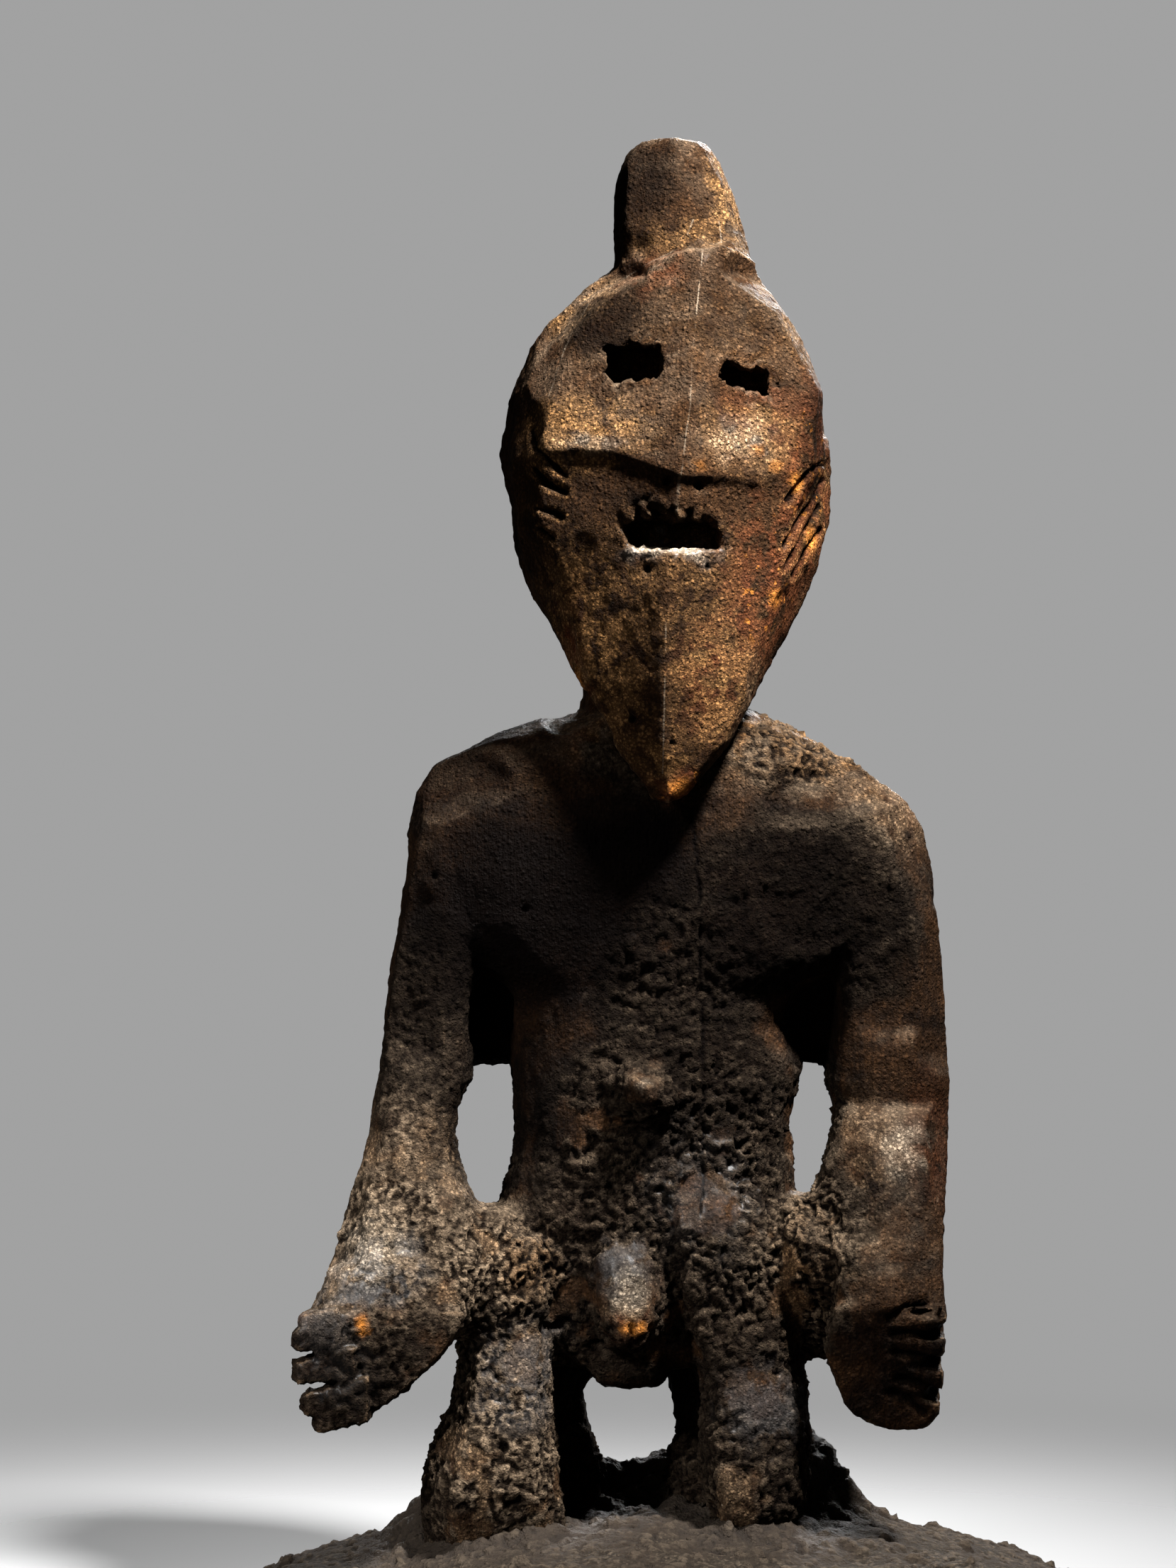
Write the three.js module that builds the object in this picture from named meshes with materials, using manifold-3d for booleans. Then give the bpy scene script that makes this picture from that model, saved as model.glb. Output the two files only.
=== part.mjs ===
// Altar figure: a standing wooden figure with a kite-shaped face and a blunt crest, its arms bent
// forward, its short flexed legs sunk in a low mound of hardened earth.
// Millimetres, +Z up. The face looks along -Y, the underside of the mound lies at Z = 0.
import * as THREE from "three";
import { ConvexGeometry } from "three/addons/geometries/ConvexGeometry.js";
import { mergeVertices } from "three/addons/utils/BufferGeometryUtils.js";
import Module from "manifold-3d";

const wasm = await Module();
wasm.setup();

// Driving dimensions
const MOUND_RADIUS = 203; // rim of the mound
const MOUND_RIM = 9; // height of its vertical edge
const SOLE = 12; // how far above the underside the legs end
const FIT = 0.3; // air between the legs and the earth around them
const EYE_DEPTH = 13;
const MOUTH_DEPTH = 20;
const SCAR_WIDTH = 3.4;

// Shapes and solids

// Corners of a unit oval: power 2 is an ellipse, higher powers are squarer.
function oval(sides, power) {
  const corners = [];
  for (let i = 0; i < sides; i += 1) {
    const angle = (2 * Math.PI * (i + 0.5)) / sides - Math.PI / 2;
    const c = Math.cos(angle);
    const s = Math.sin(angle);
    const x = Math.sign(c) * Math.abs(c) ** (2 / power);
    const y = Math.sign(s) * Math.abs(s) ** (2 / power);
    corners.push([x, y]);
  }
  return corners;
}

// One horizontal section: a unit outline stretched between its four sides. Where the outline is
// given as a number, the section is an oval of that many corners with the row's own power.
function section(outline, [z, left, right, front, back, power]) {
  const corners = Array.isArray(outline) ? outline : oval(outline, power ?? 2.4);
  return corners.map(([u, v]) => new THREE.Vector3(
    (left + right) / 2 + (u * (right - left)) / 2,
    (front + back) / 2 + (v * (back - front)) / 2,
    z,
  ));
}

// A closed skin over sections that run upward, each with the same number of corners.
function skin(sections) {
  const count = sections[0].length;
  const points = sections.flat();
  const faces = [];
  for (let row = 0; row + 1 < sections.length; row += 1) {
    for (let i = 0; i < count; i += 1) {
      const a = row * count + i;
      const b = row * count + ((i + 1) % count);
      faces.push(a, b, b + count, a, b + count, a + count);
    }
  }
  const middle = (ring) => ring
    .reduce((sum, point) => sum.add(point), new THREE.Vector3())
    .divideScalar(ring.length);
  const low = points.push(middle(sections[0])) - 1;
  const high = points.push(middle(sections.at(-1))) - 1;
  const top = (sections.length - 1) * count;
  for (let i = 0; i < count; i += 1) {
    const next = (i + 1) % count;
    faces.push(low, next, i, high, top + i, top + next);
  }
  const geometry = new THREE.BufferGeometry().setFromPoints(points);
  geometry.setIndex(faces);
  return geometry;
}

function solid(geometry) {
  geometry.deleteAttribute("normal");
  geometry.deleteAttribute("uv");
  const merged = mergeVertices(geometry, 1e-4);
  return new wasm.Manifold(new wasm.Mesh({
    numProp: 3,
    vertProperties: new Float32Array(merged.attributes.position.array),
    triVerts: new Uint32Array(merged.index.array),
  }));
}

function surface(body) {
  const mesh = body.getMesh();
  const geometry = new THREE.BufferGeometry();
  geometry.setAttribute("position", new THREE.BufferAttribute(mesh.vertProperties, 3));
  geometry.setIndex(new THREE.BufferAttribute(mesh.triVerts, 1));
  geometry.computeVertexNormals();
  return geometry;
}

// A stack of sections, given from the top down as [z, left, right, front, back, power].
const stack = (outline, rows) => solid(skin(rows.map((row) => section(outline, row)).reverse()));

// The smallest convex solid around the given points.
const wrap = (points) => solid(new ConvexGeometry(points.map((p) => new THREE.Vector3(...p))));

// A tapered bar with six sides between two points.
function bar(from, to, radiusFrom, radiusTo) {
  const start = new THREE.Vector3(...from);
  const run = new THREE.Vector3(...to).sub(start);
  const geometry = new THREE.CylinderGeometry(radiusTo, radiusFrom, run.length(), 6);
  const turn = new THREE.Quaternion().setFromUnitVectors(
    new THREE.Vector3(0, 1, 0),
    run.clone().normalize(),
  );
  geometry.applyQuaternion(turn);
  geometry.translate(...start.addScaledVector(run, 0.5).toArray());
  return solid(geometry);
}

const join = (parts) => parts.reduce((whole, part) => whole.add(part));
const cutAway = (body, cutters) => cutters.reduce((rest, cutter) => rest.subtract(cutter), body);

// The one piece that remains when the crumbs a cut leaves behind are dropped.
const largest = (body) => body.decompose()
  .reduce((most, piece) => (piece.volume() > most.volume() ? piece : most));

// Head and crest

// The lines that run down the head, from the crown to the chin, as [x, y, z].
const RIDGE = [
  [19.5, -38, 631.5], [17, -47, 614], [15.5, -55, 599], [14, -63, 582],
  [13, -72, 560.5], [8.5, -84, 526.5], [7.5, -81, 523.5], [6.5, -82, 501],
  [2, -82, 472], [1, -80, 453], [0.5, -77, 432.5], [0.5, -70, 405.5], [3, -61, 377.5],
];
const LEFT_EDGE = [
  [13.5, -36, 634], [-24, -33, 615.5], [-36, -36, 601.5], [-43.5, -40, 583.5],
  [-50.5, -46, 565.5], [-53, -54, 539.5], [-54.5, -51, 536], [-56, -51, 504],
  [-44.5, -53, 474.5], [-39, -56, 456], [-32, -59, 434.5], [-17, -61, 405.5],
  [-0.5, -58, 380],
];
const RIGHT_EDGE = [
  [28, -34, 635.5], [45, -30, 617], [57.5, -32, 601.5], [67, -34, 586],
  [74.5, -37, 567], [69, -46, 530.5], [68, -44, 527], [58, -51, 504],
  [54.5, -52, 477], [48.5, -54, 455.5], [41, -58, 435.5], [28.5, -61, 406],
  [8, -58, 380.5],
];
const LEFT_SIDE = [
  [-19.5, -5, 630.5], [-33.5, -6, 620], [-48.5, -5, 606], [-62, -3, 588.5],
  [-71.5, 0, 567.5], [-76, 2, 541.5], [-76, 2, 538], [-70, 2, 504.5],
  [-61, -4, 477.5], [-48, -12, 455], [-35.5, -24, 432.5], [-19.5, -42, 405],
  [-1, -53, 380],
];
const RIGHT_SIDE = [
  [45, -5, 630], [49.5, -6, 620], [59, -5, 606], [68, -3, 589],
  [75.5, 0, 567.5], [80, 2, 541.5], [80.5, 2, 538], [79.5, -2, 505.5],
  [70, -9, 477.5], [59, -17, 455.5], [48, -28, 434.5], [31.5, -44, 405.5],
  [9, -53, 380.5],
];
// The levels where the upper plane of the face ends and the lower one begins.
const CHEEK_LEVELS = [5, 6];
// How far back the skull reaches at the same levels.
const SKULL_BACK = [34, 46, 56, 63, 67, 67, 67, 60, 48, 33, 12, -22, -48];

// One level of the head: two flat planes in front, chamfered sides and a rounded back.
function headLevel(i) {
  const at = (line) => new THREE.Vector3(...line[i]);
  const chamfer = (edge, side, outward) => {
    const corner = edge.clone().lerp(side, 0.45);
    corner.x += outward;
    return corner;
  };
  // The middle of each front plane; the cheek line bends there.
  const cheek = (edge, lift) => {
    const corner = at(RIDGE).lerp(edge, 0.52);
    corner.z += CHEEK_LEVELS.includes(i) ? lift : 0;
    return corner;
  };
  const left = at(LEFT_SIDE);
  const right = at(RIGHT_SIDE);
  const back = [];
  for (let step = 1; step < 8; step += 1) {
    const angle = (Math.PI * step) / 8;
    const along = (1 - Math.cos(angle)) / 2;
    const point = right.clone().lerp(left, along);
    point.y += (SKULL_BACK[i] - point.y) * Math.sin(angle) ** 0.9;
    back.push(point);
  }
  return [
    at(RIDGE),
    cheek(at(RIGHT_EDGE), -2.5),
    at(RIGHT_EDGE),
    chamfer(at(RIGHT_EDGE), right, 1.5),
    right,
    ...back,
    left,
    chamfer(at(LEFT_EDGE), left, -4.5),
    at(LEFT_EDGE),
    cheek(at(LEFT_EDGE), 5.5),
  ];
}

const skull = skin(RIDGE.map((_, i) => headLevel(i)).reverse());

// Finds where the carved front lies at a given x and z.
const ray = new THREE.Raycaster();
const skullMesh = new THREE.Mesh(skull, new THREE.MeshBasicMaterial({ side: THREE.DoubleSide }));
function faceAt(x, z) {
  ray.set(new THREE.Vector3(x, -300, z), new THREE.Vector3(0, 1, 0));
  const hit = ray.intersectObject(skullMesh)[0];
  return hit ? hit.point.y : 0;
}

// A pocket cut straight back into the face, its outline given as [x, z] corners.
function pocket(outline, depth) {
  const floor = Math.max(...outline.map(([x, z]) => faceAt(x, z))) + depth;
  const points = outline.flatMap(([x, z]) => [[x, -120, z], [x * 0.97 + 0.2, floor, z]]);
  return wrap(points);
}

// A V-shaped groove that follows the carved front through the given [x, z] points, thin at its ends.
function groove(path, width) {
  const line = new THREE.CurvePath();
  for (let i = 0; i + 1 < path.length; i += 1) {
    line.add(new THREE.LineCurve(new THREE.Vector2(...path[i]), new THREE.Vector2(...path[i + 1])));
  }
  const steps = Math.ceil(line.getLength() / 4.5);
  const rims = line.getSpacedPoints(steps).map((point, i) => {
    const taper = i === 0 || i === steps ? 0.35 : 1;
    const y = faceAt(point.x, point.y);
    const across = path.at(-1)[0] > path[0][0] ? 0.5 : -0.5;
    const half = width * taper * 0.5;
    return [
      [point.x, y + width * taper * 0.7, point.y],
      [point.x + across * half, y - 1, point.y + half], [point.x - across * half, y - 1, point.y - half],
      [point.x + across * half, y - 30, point.y + half], [point.x - across * half, y - 30, point.y - half],
    ];
  });
  return join(rims.slice(1).map((rim, i) => wrap([...rims[i], ...rim])));
}

const LEFT_EYE = [[-26.5, 587], [0.5, 587], [1, 571], [-24, 570.5], [-27, 575]];
const RIGHT_EYE = [[27.5, 579], [49, 575], [50, 564], [25.5, 569.5]];
const MOUTH = [[-18.1, 503.4], [-13, 493.6], [6.8, 491.8], [27.3, 492.9], [26, 507], [-13, 508]];
const LEFT_SCARS = [
  [[-59.5, 558.5], [-58.5, 546], [-53.5, 536], [-44.5, 528.5]],
  [[-59.5, 528.5], [-53.5, 525], [-43, 521]],
  [[-58, 516], [-52, 513.5], [-46, 509]],
  [[-57, 503.4], [-49.4, 500]],
];
const RIGHT_SCARS = [
  [[76.5, 543], [68, 530], [58.5, 516]],
  [[76.5, 527], [66, 515], [56, 501.5]],
  [[76, 517.5], [66, 506], [55, 494]],
  [[72.5, 505.5], [63, 491], [55, 477.5]],
];

// Five notches in the upper lip leave a row of square teeth hanging in the mouth.
const NOTCHES = [-9.5, -2.5, 4.5, 12, 19.5].map((x, i) => [x, [4, 6.5, 7, 6, 3][i]]);
const notches = NOTCHES.map(([x, rise]) => {
  const foot = faceAt(x, 506);
  const box = new THREE.BoxGeometry(3.6, 12, rise + 2);
  box.translate(x, foot + 3, 505 + (rise + 2) / 2);
  return solid(box);
});
const NOSTRILS = [[2.5, 524], [16.5, 522]];
const nostrils = NOSTRILS.map(([x, z]) => {
  const y = faceAt(x, z);
  return bar([x, y - 3, z + 1], [x, y + 7, z - 1], 3, 2.2);
});

const head = cutAway(solid(skull), [
  pocket(LEFT_EYE, EYE_DEPTH),
  pocket(RIGHT_EYE, EYE_DEPTH),
  pocket(MOUTH, MOUTH_DEPTH),
  ...notches,
  ...nostrils,
  ...LEFT_SCARS.map((path) => groove(path, SCAR_WIDTH)),
  ...RIGHT_SCARS.map((path) => groove(path, SCAR_WIDTH)),
]);

// The crest: a blunt plug with an upright front ridge and a chamfered top, leaning back.
const CREST_OUTLINE = [
  [0.12, -1], [0.72, -0.66], [1, -0.08], [0.74, 0.66], [0.06, 1], [-0.66, 0.72], [-1, 0.1],
  [-0.86, -0.56],
];
const crest = stack(CREST_OUTLINE, [
  [688.5, -2, 15, 0, 22],
  [687, -9.5, 21, -6, 28],
  [682, -15.5, 26.5, -12, 33],
  [672, -20, 31.5, -17, 37],
  [663, -21.5, 35, -20, 39],
  [646, -21.5, 40, -26, 40],
  [632, -21.5, 44, -36, 42],
  [600, -24, 50, -36, 44],
]);
// The six-sided chip at the foot of the crest, just above the face.
const chip = wrap([
  [12.5, -60, 638], [14.5, -60, 648], [26.5, -60, 648.5], [28, -60, 636], [19.5, -60, 631.5],
  [12.5, -34, 638], [14.5, -27.5, 648], [26.5, -26, 648.5], [28, -32.5, 636], [19.5, -37.5, 631.5],
]);

// Neck, trunk and arms

const neck = stack(14, [
  [482, -34, 42, -26, 46],
  [440, -39, 40, -28, 44],
  [425, -40, 42, -29, 44],
  [400, -48, 48, -30, 44],
]);

const trunk = stack(20, [
  [422, -44, 45, -26, 43, 2.2],
  [409, -82, 71, -33, 45, 2.5],
  [396, -106, 96, -37, 47, 2.8],
  [382, -114.5, 114, -40, 48, 3.2],
  [366, -118, 124, -41, 47, 3.4],
  [345, -120, 128, -42, 46, 3.4],
  [322, -114, 120, -41, 44, 3.2],
  [304, -92, 92, -40, 42, 2.8],
  [292, -74, 66, -39, 41, 2.5],
  [274, -70, 62, -41, 40, 2.3],
  [256, -70, 68, -43, 38, 2.3],
  [240, -69, 63.4, -45, 37, 2.3],
  [220, -69, 62, -46, 38, 2.3],
  [205, -73, 63, -47, 42, 2.4],
  [190, -76, 66, -47, 50, 2.6],
  [170, -80, 68, -45, 57, 2.8],
  [150, -82, 67, -42, 59, 2.8],
  [132, -78, 64, -38, 54, 2.6],
  [118, -66, 54, -30, 42, 2.4],
]);

const LEFT_ARM = [
  [400, -98, -62, -22, 24],
  [383, -111, -66, -31, 31],
  [354, -118, -72, -34, 33],
  [330, -121.5, -78, -35, 32],
  [304, -125, -82, -36, 30],
  [280, -128, -86, -37, 27],
  [262, -130, -86, -39, 24],
  [250, -131.5, -87, -41, 21],
  [239, -133, -92.5, -44, 17],
  [226, -134.5, -94, -49, 11],
  [213, -138, -92, -55, 5],
  [200, -142.5, -86, -61, -2],
  [187, -146, -82, -66, -8],
  [173, -150, -79, -70, -14],
  [160, -154, -80, -73, -20],
  [147, -161, -84, -75, -27],
  [138, -163, -90, -74, -32],
];
const RIGHT_ARM = [
  [400, 58, 92, -22, 24],
  [383, 64, 112, -31, 31],
  [354, 70, 126, -34, 33],
  [330, 76, 128.5, -35, 32],
  [304, 80, 131, -36, 30],
  [278, 80, 132.5, -36, 27],
  [262, 78, 133.5, -36, 24],
  [250, 76, 134.5, -35, 20],
  [240, 79.5, 134, -34, 17],
  [236, 80, 134, -42, 14],
  [226, 79, 133, -48, 10],
  [213, 74.5, 132.5, -54, 4],
  [200, 71, 131, -60, -3],
  [187, 71, 130, -65, -9],
  [173, 73, 129, -69, -15],
  [160, 76, 129, -72, -21],
  [150, 79, 129, -74, -27],
];
const ARM_OUTLINE = oval(12, 3);
const leftArm = stack(ARM_OUTLINE, LEFT_ARM);
const rightArm = stack(ARM_OUTLINE, RIGHT_ARM);

// Behind each armpit the wood is left standing, so the hollow goes through only further down.
const leftArmpit = wrap([
  [-104, -4, 304], [-62, -8, 304], [-104, 26, 304], [-62, 28, 304],
  [-98, 4, 257], [-66, 2, 257.5], [-98, 18, 256], [-66, 22, 256],
]);
const rightArmpit = wrap([
  [54, -8, 304], [100, -4, 304], [54, 28, 304], [100, 26, 304],
  [60, 0, 262], [70, 2, 262.5], [96, 4, 244], [60, 22, 262], [70, 20, 262.5], [96, 16, 244],
]);

// Webs of crust that close the space between each wrist and hip.
const leftWeb = wrap([
  [-94, -54, 193], [-70, -44, 193], [-112, -64, 162], [-54, -46, 170], [-52, -46, 146],
  [-109, -60, 145], [-99, -53, 136], [-84, -49, 134],
  [-92, -6, 193], [-70, -6, 193], [-108, -4, 160], [-54, 2, 165], [-54, 2, 146], [-96, -10, 136],
  [-84, -8, 134],
]);
const rightWeb = stack(oval(10, 3), [
  [198, 58, 80, -46, -8],
  [180, 52, 92, -56, 0],
  [162, 52, 92, -56, 0],
  [146, 58, 88, -44, 0],
  [128, 62, 80, -30, -4],
  [122, 64, 77, -26, -8],
]);

// Hands

// The palm turned to the viewer; the fingers point outward and slightly down.
const LEFT_PALM = [
  [-162, 148], [-153, 133], [-149, 115], [-141, 101], [-127, 105.5], [-115, 118], [-104, 125],
  [-95, 136], [-88, 150],
];
const leftPalm = wrap(LEFT_PALM.flatMap(([x, z]) => [
  [x, -76 + (150 - z) * 0.1, z],
  [x + 3, -42 - (150 - z) * 0.1, z],
]));
const LEFT_FINGERS = [
  [[-146, 147], [-161.5, 145], 4.5],
  [[-144, 139], [-164.5, 136], 6],
  [[-138, 127], [-164, 122], 6.7],
  [[-132, 114], [-160.5, 107.5], 6.6],
  [[-132, 104.5], [-155, 98], 4.8],
];
const leftFingers = LEFT_FINGERS.map(([knuckle, tip, thick]) => {
  const [kx, kz] = knuckle;
  const [tx, tz] = tip;
  return wrap([-1, 1].flatMap((up) => [
    [kx, -78, kz + up * thick], [kx, -52, kz + up * thick],
    [tx, -77, tz + up * thick * 0.8], [tx, -56, tz + up * thick * 0.8],
    [tx - 3, -73, tz + up * thick * 0.4], [tx - 3, -60, tz + up * thick * 0.4],
  ]));
});

// The other hand hangs with its back turned out, the fingers folded round the outer edge.
const RIGHT_PALM = [
  [79, 152], [74.5, 129], [79, 123.5], [81.5, 114.5], [83, 107], [86, 101.5],
  [94.2, 96.8], [104.4, 93.4], [116, 93.4], [122, 95], [126, 100.4], [127.4, 106], [129.4, 152],
];
const rightPalm = wrap(RIGHT_PALM.flatMap(([x, z]) => [
  [x, -73 + (152 - z) * 0.3, z],
  [x, -30 - (152 - z) * 0.1, z],
]));
const RIGHT_GAPS = [
  [[101, 146], [120, 151]],
  [[110, 137], [129, 140.5]],
  [[107, 123.5], [129, 125]],
  [[109, 110], [128.5, 108.5]],
];
const rightGaps = RIGHT_GAPS.map(([inner, outer]) => {
  const [ix, iz] = inner;
  const [ox, oz] = outer;
  const front = -74 + (152 - oz) * 0.3;
  return wrap([
    [ix, front + 1, iz],
    [ox, front - 4, oz + 4], [ox, front - 4, oz - 4],
    [ox + 6, front - 4, oz + 4], [ox + 6, front - 4, oz - 4],
    [ox + 6, front + 26, oz + 2], [ox + 6, front + 26, oz - 2],
    [ox - 4, front + 6, oz],
  ]);
});

// Bosses on the trunk

const navel = wrap([
  [-26, -42, 250], [-14, -42, 262], [4, -42, 258], [10, -42, 242], [-4, -42, 226], [-22, -42, 232],
  [-18, -56, 252], [-8, -62, 254], [-3, -64, 245], [4, -57, 240], [-8, -58, 236],
]);
const loin = stack(oval(12, 2.3), [
  [186, -28, -4, -46, -24],
  [170, -32, 0, -55, -20],
  [152, -32, 3, -61, -18],
  [140, -30, 1, -62, -18],
  [132, -26, -4, -58, -18],
  [128, -22, -8, -50, -18],
]);
const skirt = stack(oval(10, 2.6), [
  [140, -40, 14, -40, 16],
  [120, -34, 6, -42, 14],
  [112, -31, 4, -38, 12],
  [108.5, -25, 0, -30, 8],
]);

// Legs

const LEFT_SHANK = [
  [-0.5, -1], [0.7, -1], [1, -0.66], [1, 0.6], [0.6, 1], [-0.6, 1], [-1, 0.6], [-1, -0.3],
];
const RIGHT_SHANK = [
  [-0.7, -1], [-0.05, -1], [0.62, -0.82], [1, -0.3], [1, 0.6], [0.5, 1], [-0.6, 1], [-1, 0.6],
  [-1, -0.55],
];
const LEFT_LEG = [
  [190, -72, -42, -34, 10],
  [165, -88, -48, -43, 20],
  [133, -93, -50, -48, 25],
  [105, -97.5, -50, -53, 26],
  [82, -105, -48, -58, 26],
  [66, -110, -46.5, -59, 24],
  [50, -110, -44, -55, 22],
  [36, -108, -41, -49, 20],
  [SOLE, -104, -40, -44, 20],
];
const LEFT_CALF = [
  [158, -78, -36, 2, 44],
  [132, -86, -30, 0, 48],
  [112, -91, -28, 0, 47],
  [98, -94, -32, -2, 45],
  [84, -98, -28, -4, 43],
  [72, -100, -25, -4, 42],
  [40, -100, -26, -2, 42],
  [SOLE, -98, -30, 0, 40],
];
const RIGHT_LEG = [
  [226, 4, 36, -38, 12],
  [208, 0, 48, -45, 12],
  [190, 0, 58, -50, 12],
  [165, 4, 64, -54, 20],
  [138, 10, 66, -53, 22],
  [120, 17, 66.5, -52, 24],
  [105, 19.5, 68.5, -55, 25],
  [85, 17, 70, -58, 25],
  [66, 20, 68.5, -60, 24],
  [51, 24, 65, -57, 22],
  [44, 20, 64, -47, 22],
  [36, 13, 64, -43, 22],
  [SOLE, 12, 62, -40, 22],
];
const RIGHT_CALF = [
  [150, 2, 60, 2, 50],
  [110, 2.5, 58, 0, 46],
  [100, 5, 58, 0, 44],
  [91, 6.5, 58, 0, 44],
  [74, 5, 60, 0, 44],
  [40, 4, 60, 0, 44],
  [SOLE, 6, 58, 0, 42],
];
const CALF_OUTLINE = oval(10, 3);

// The four columns of the legs, thicker by the given amount all round.
function legs(extra) {
  const grow = ([z, left, right, front, back]) => [
    z === SOLE ? z - extra : z,
    left - extra, right + extra, front - extra, back + extra,
  ];
  return join([
    stack(LEFT_SHANK, LEFT_LEG.map(grow)),
    stack(CALF_OUTLINE, LEFT_CALF.map(grow)),
    stack(RIGHT_SHANK, RIGHT_LEG.map(grow)),
    stack(CALF_OUTLINE, RIGHT_CALF.map(grow)),
  ]);
}
// The dark hollow below the right knee.
const kneeHollow = wrap([
  [21, -80, 46], [37, -80, 47], [39, -80, 30], [24, -80, 24],
  [23, -30, 44], [35, -30, 45], [36, -30, 32], [26, -30, 28],
]);

const figureSolid = largest(cutAway(
  join([
    trunk, neck, head, cutAway(crest, [chip]), leftArm, rightArm, leftArmpit, rightArmpit,
    leftWeb, rightWeb, leftPalm, ...leftFingers, cutAway(rightPalm, rightGaps), navel, loin, skirt, legs(0),
  ]),
  [kneeHollow],
));

// Mound

const PROFILE = [[0, 50], [60, 47], [96, 41], [132, 32], [164, 24], [186, 17], [198, 11.5]];
// Heaps of earth around the legs: [x, y, half-width, half-depth, height].
const HEAPS = [
  [-95, 18, 27, 32, 18],
  [68, 27, 25, 26, 33],
  [-12, 36, 30, 13, 19],
  [30, 34, 34, 14, 14],
  [-60, 34, 34, 16, 14],
  [135, 10, 80, 90, 3.4],
];
const SPOKES = 56;
const RINGS = [14, 28, 40, 52, 62, 72, 82, 92, 102, 112, 122, 134, 148, 164, 180, 193];

function moundHeight(x, y) {
  const reach = Math.hypot(x, y);
  let i = PROFILE.findIndex(([r]) => r > reach);
  if (i < 0) {
    i = PROFILE.length - 1;
  }
  const [[r0, z0], [r1, z1]] = [PROFILE[i - 1], PROFILE[i]];
  const dome = z0 + ((z1 - z0) * (reach - r0)) / (r1 - r0);
  const heap = HEAPS.reduce((sum, [hx, hy, rx, ry, high]) => {
    const away = ((x - hx) / rx) ** 2 + ((y - hy) / ry) ** 2;
    return sum + high * Math.exp(-(away ** 1.6));
  }, 0);
  return dome + heap;
}

function ringAt(radius, height) {
  return Array.from({ length: SPOKES }, (_, i) => {
    const angle = (2 * Math.PI * i) / SPOKES;
    const x = radius * Math.cos(angle);
    const y = radius * Math.sin(angle);
    return new THREE.Vector3(x, y, height ?? moundHeight(x, y));
  });
}

const dome = solid(skin([
  ringAt(MOUND_RADIUS - 3, 0),
  ringAt(MOUND_RADIUS, 3),
  ringAt(MOUND_RADIUS, MOUND_RIM),
  ...[...RINGS].reverse().map((radius) => ringAt(radius)),
]));
// The earth is open where the legs stand in it; loose crumbs between them are left out.
const moundSolid = largest(dome.subtract(legs(FIT)));

// The object

const wood = new THREE.MeshStandardMaterial({ color: 0x54412f, roughness: 0.86, metalness: 0 });
const earth = new THREE.MeshStandardMaterial({ color: 0x8a7c66, roughness: 0.96, metalness: 0 });

const figure = new THREE.Mesh(surface(figureSolid), wood);
figure.name = "figure";
const mound = new THREE.Mesh(surface(moundSolid), earth);
mound.name = "earth_mound";

const altarFigure = new THREE.Group();
altarFigure.add(figure, mound);

export default altarFigure;
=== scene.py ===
# %% [markdown]
# # An altar figure of crusted wood in a mound of earth
#
# The figure is carved from one block of hard wood. Its face is a long kite with a sharp central
# ridge, a blunt crest stands on its crown, and its legs are sunk in a low mound of hardened earth.
# Years of offerings have left a thick, crumbly crust on the belly, the hips and the legs, while the
# face and the edges of the arms are worn.
#
# This lesson builds both pieces around their plain solids. The solids give every size and place.
# What is added here is what a knife, a hand and the weather leave: facets, crumbs, pits and cracks
# as real geometry, and then the finishes.

# %% Load the plain solids
import math

import bpy
import numpy as np
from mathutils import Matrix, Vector, kdtree, noise


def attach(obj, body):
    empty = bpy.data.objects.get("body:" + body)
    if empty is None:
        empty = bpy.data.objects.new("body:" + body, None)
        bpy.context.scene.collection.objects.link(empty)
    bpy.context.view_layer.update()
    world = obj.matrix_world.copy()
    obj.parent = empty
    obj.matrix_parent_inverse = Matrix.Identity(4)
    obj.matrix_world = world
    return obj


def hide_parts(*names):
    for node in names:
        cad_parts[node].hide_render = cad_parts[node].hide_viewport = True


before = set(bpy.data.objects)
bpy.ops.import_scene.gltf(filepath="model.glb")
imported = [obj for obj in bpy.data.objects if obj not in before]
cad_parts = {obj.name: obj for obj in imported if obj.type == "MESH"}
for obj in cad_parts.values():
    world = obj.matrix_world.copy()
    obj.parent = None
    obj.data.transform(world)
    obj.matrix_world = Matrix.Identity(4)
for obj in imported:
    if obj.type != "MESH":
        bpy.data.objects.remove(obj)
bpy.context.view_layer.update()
MM = 0.001

# %% [markdown]
# ## The camera
#
# The picture is taken level, from 2.4 m away and a little left of the middle, with a long lens. A
# long lens keeps the lines of the carving straight. Its focal length follows from the height that
# the picture takes in at the figure.

# %% Place the camera
CAMERA_AT = Vector((-33.3, -2400.0, 387.4)) * MM
VIEW_HEIGHT = 730 * MM

camera_data = bpy.data.cameras.new("studio_camera")
camera_data.lens = camera_data.sensor_width * -CAMERA_AT.y / VIEW_HEIGHT
camera = bpy.data.objects.new("studio_camera", camera_data)
camera.location = CAMERA_AT
camera.rotation_euler = (math.pi / 2, 0, 0)
bpy.context.collection.objects.link(camera)
bpy.context.scene.camera = camera
print("lens:", round(camera_data.lens, 1), "mm")

# %% [markdown]
# ## Working on a mesh as a field of points
#
# The crust is made by moving the points of a fine, even mesh. With the points in one array, a rule
# such as "swell where the crust lies" is one line for all of them. These helpers read and write
# that array, in millimetres because the carving is measured in them.

# %% Read and write points
def read_points(mesh, what="co"):
    values = np.empty(len(mesh.vertices) * 3)
    if what == "co":
        mesh.vertices.foreach_get("co", values)
        values /= MM
    else:
        mesh.vertex_normals.foreach_get("vector", values)
    return values.reshape(-1, 3)


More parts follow.
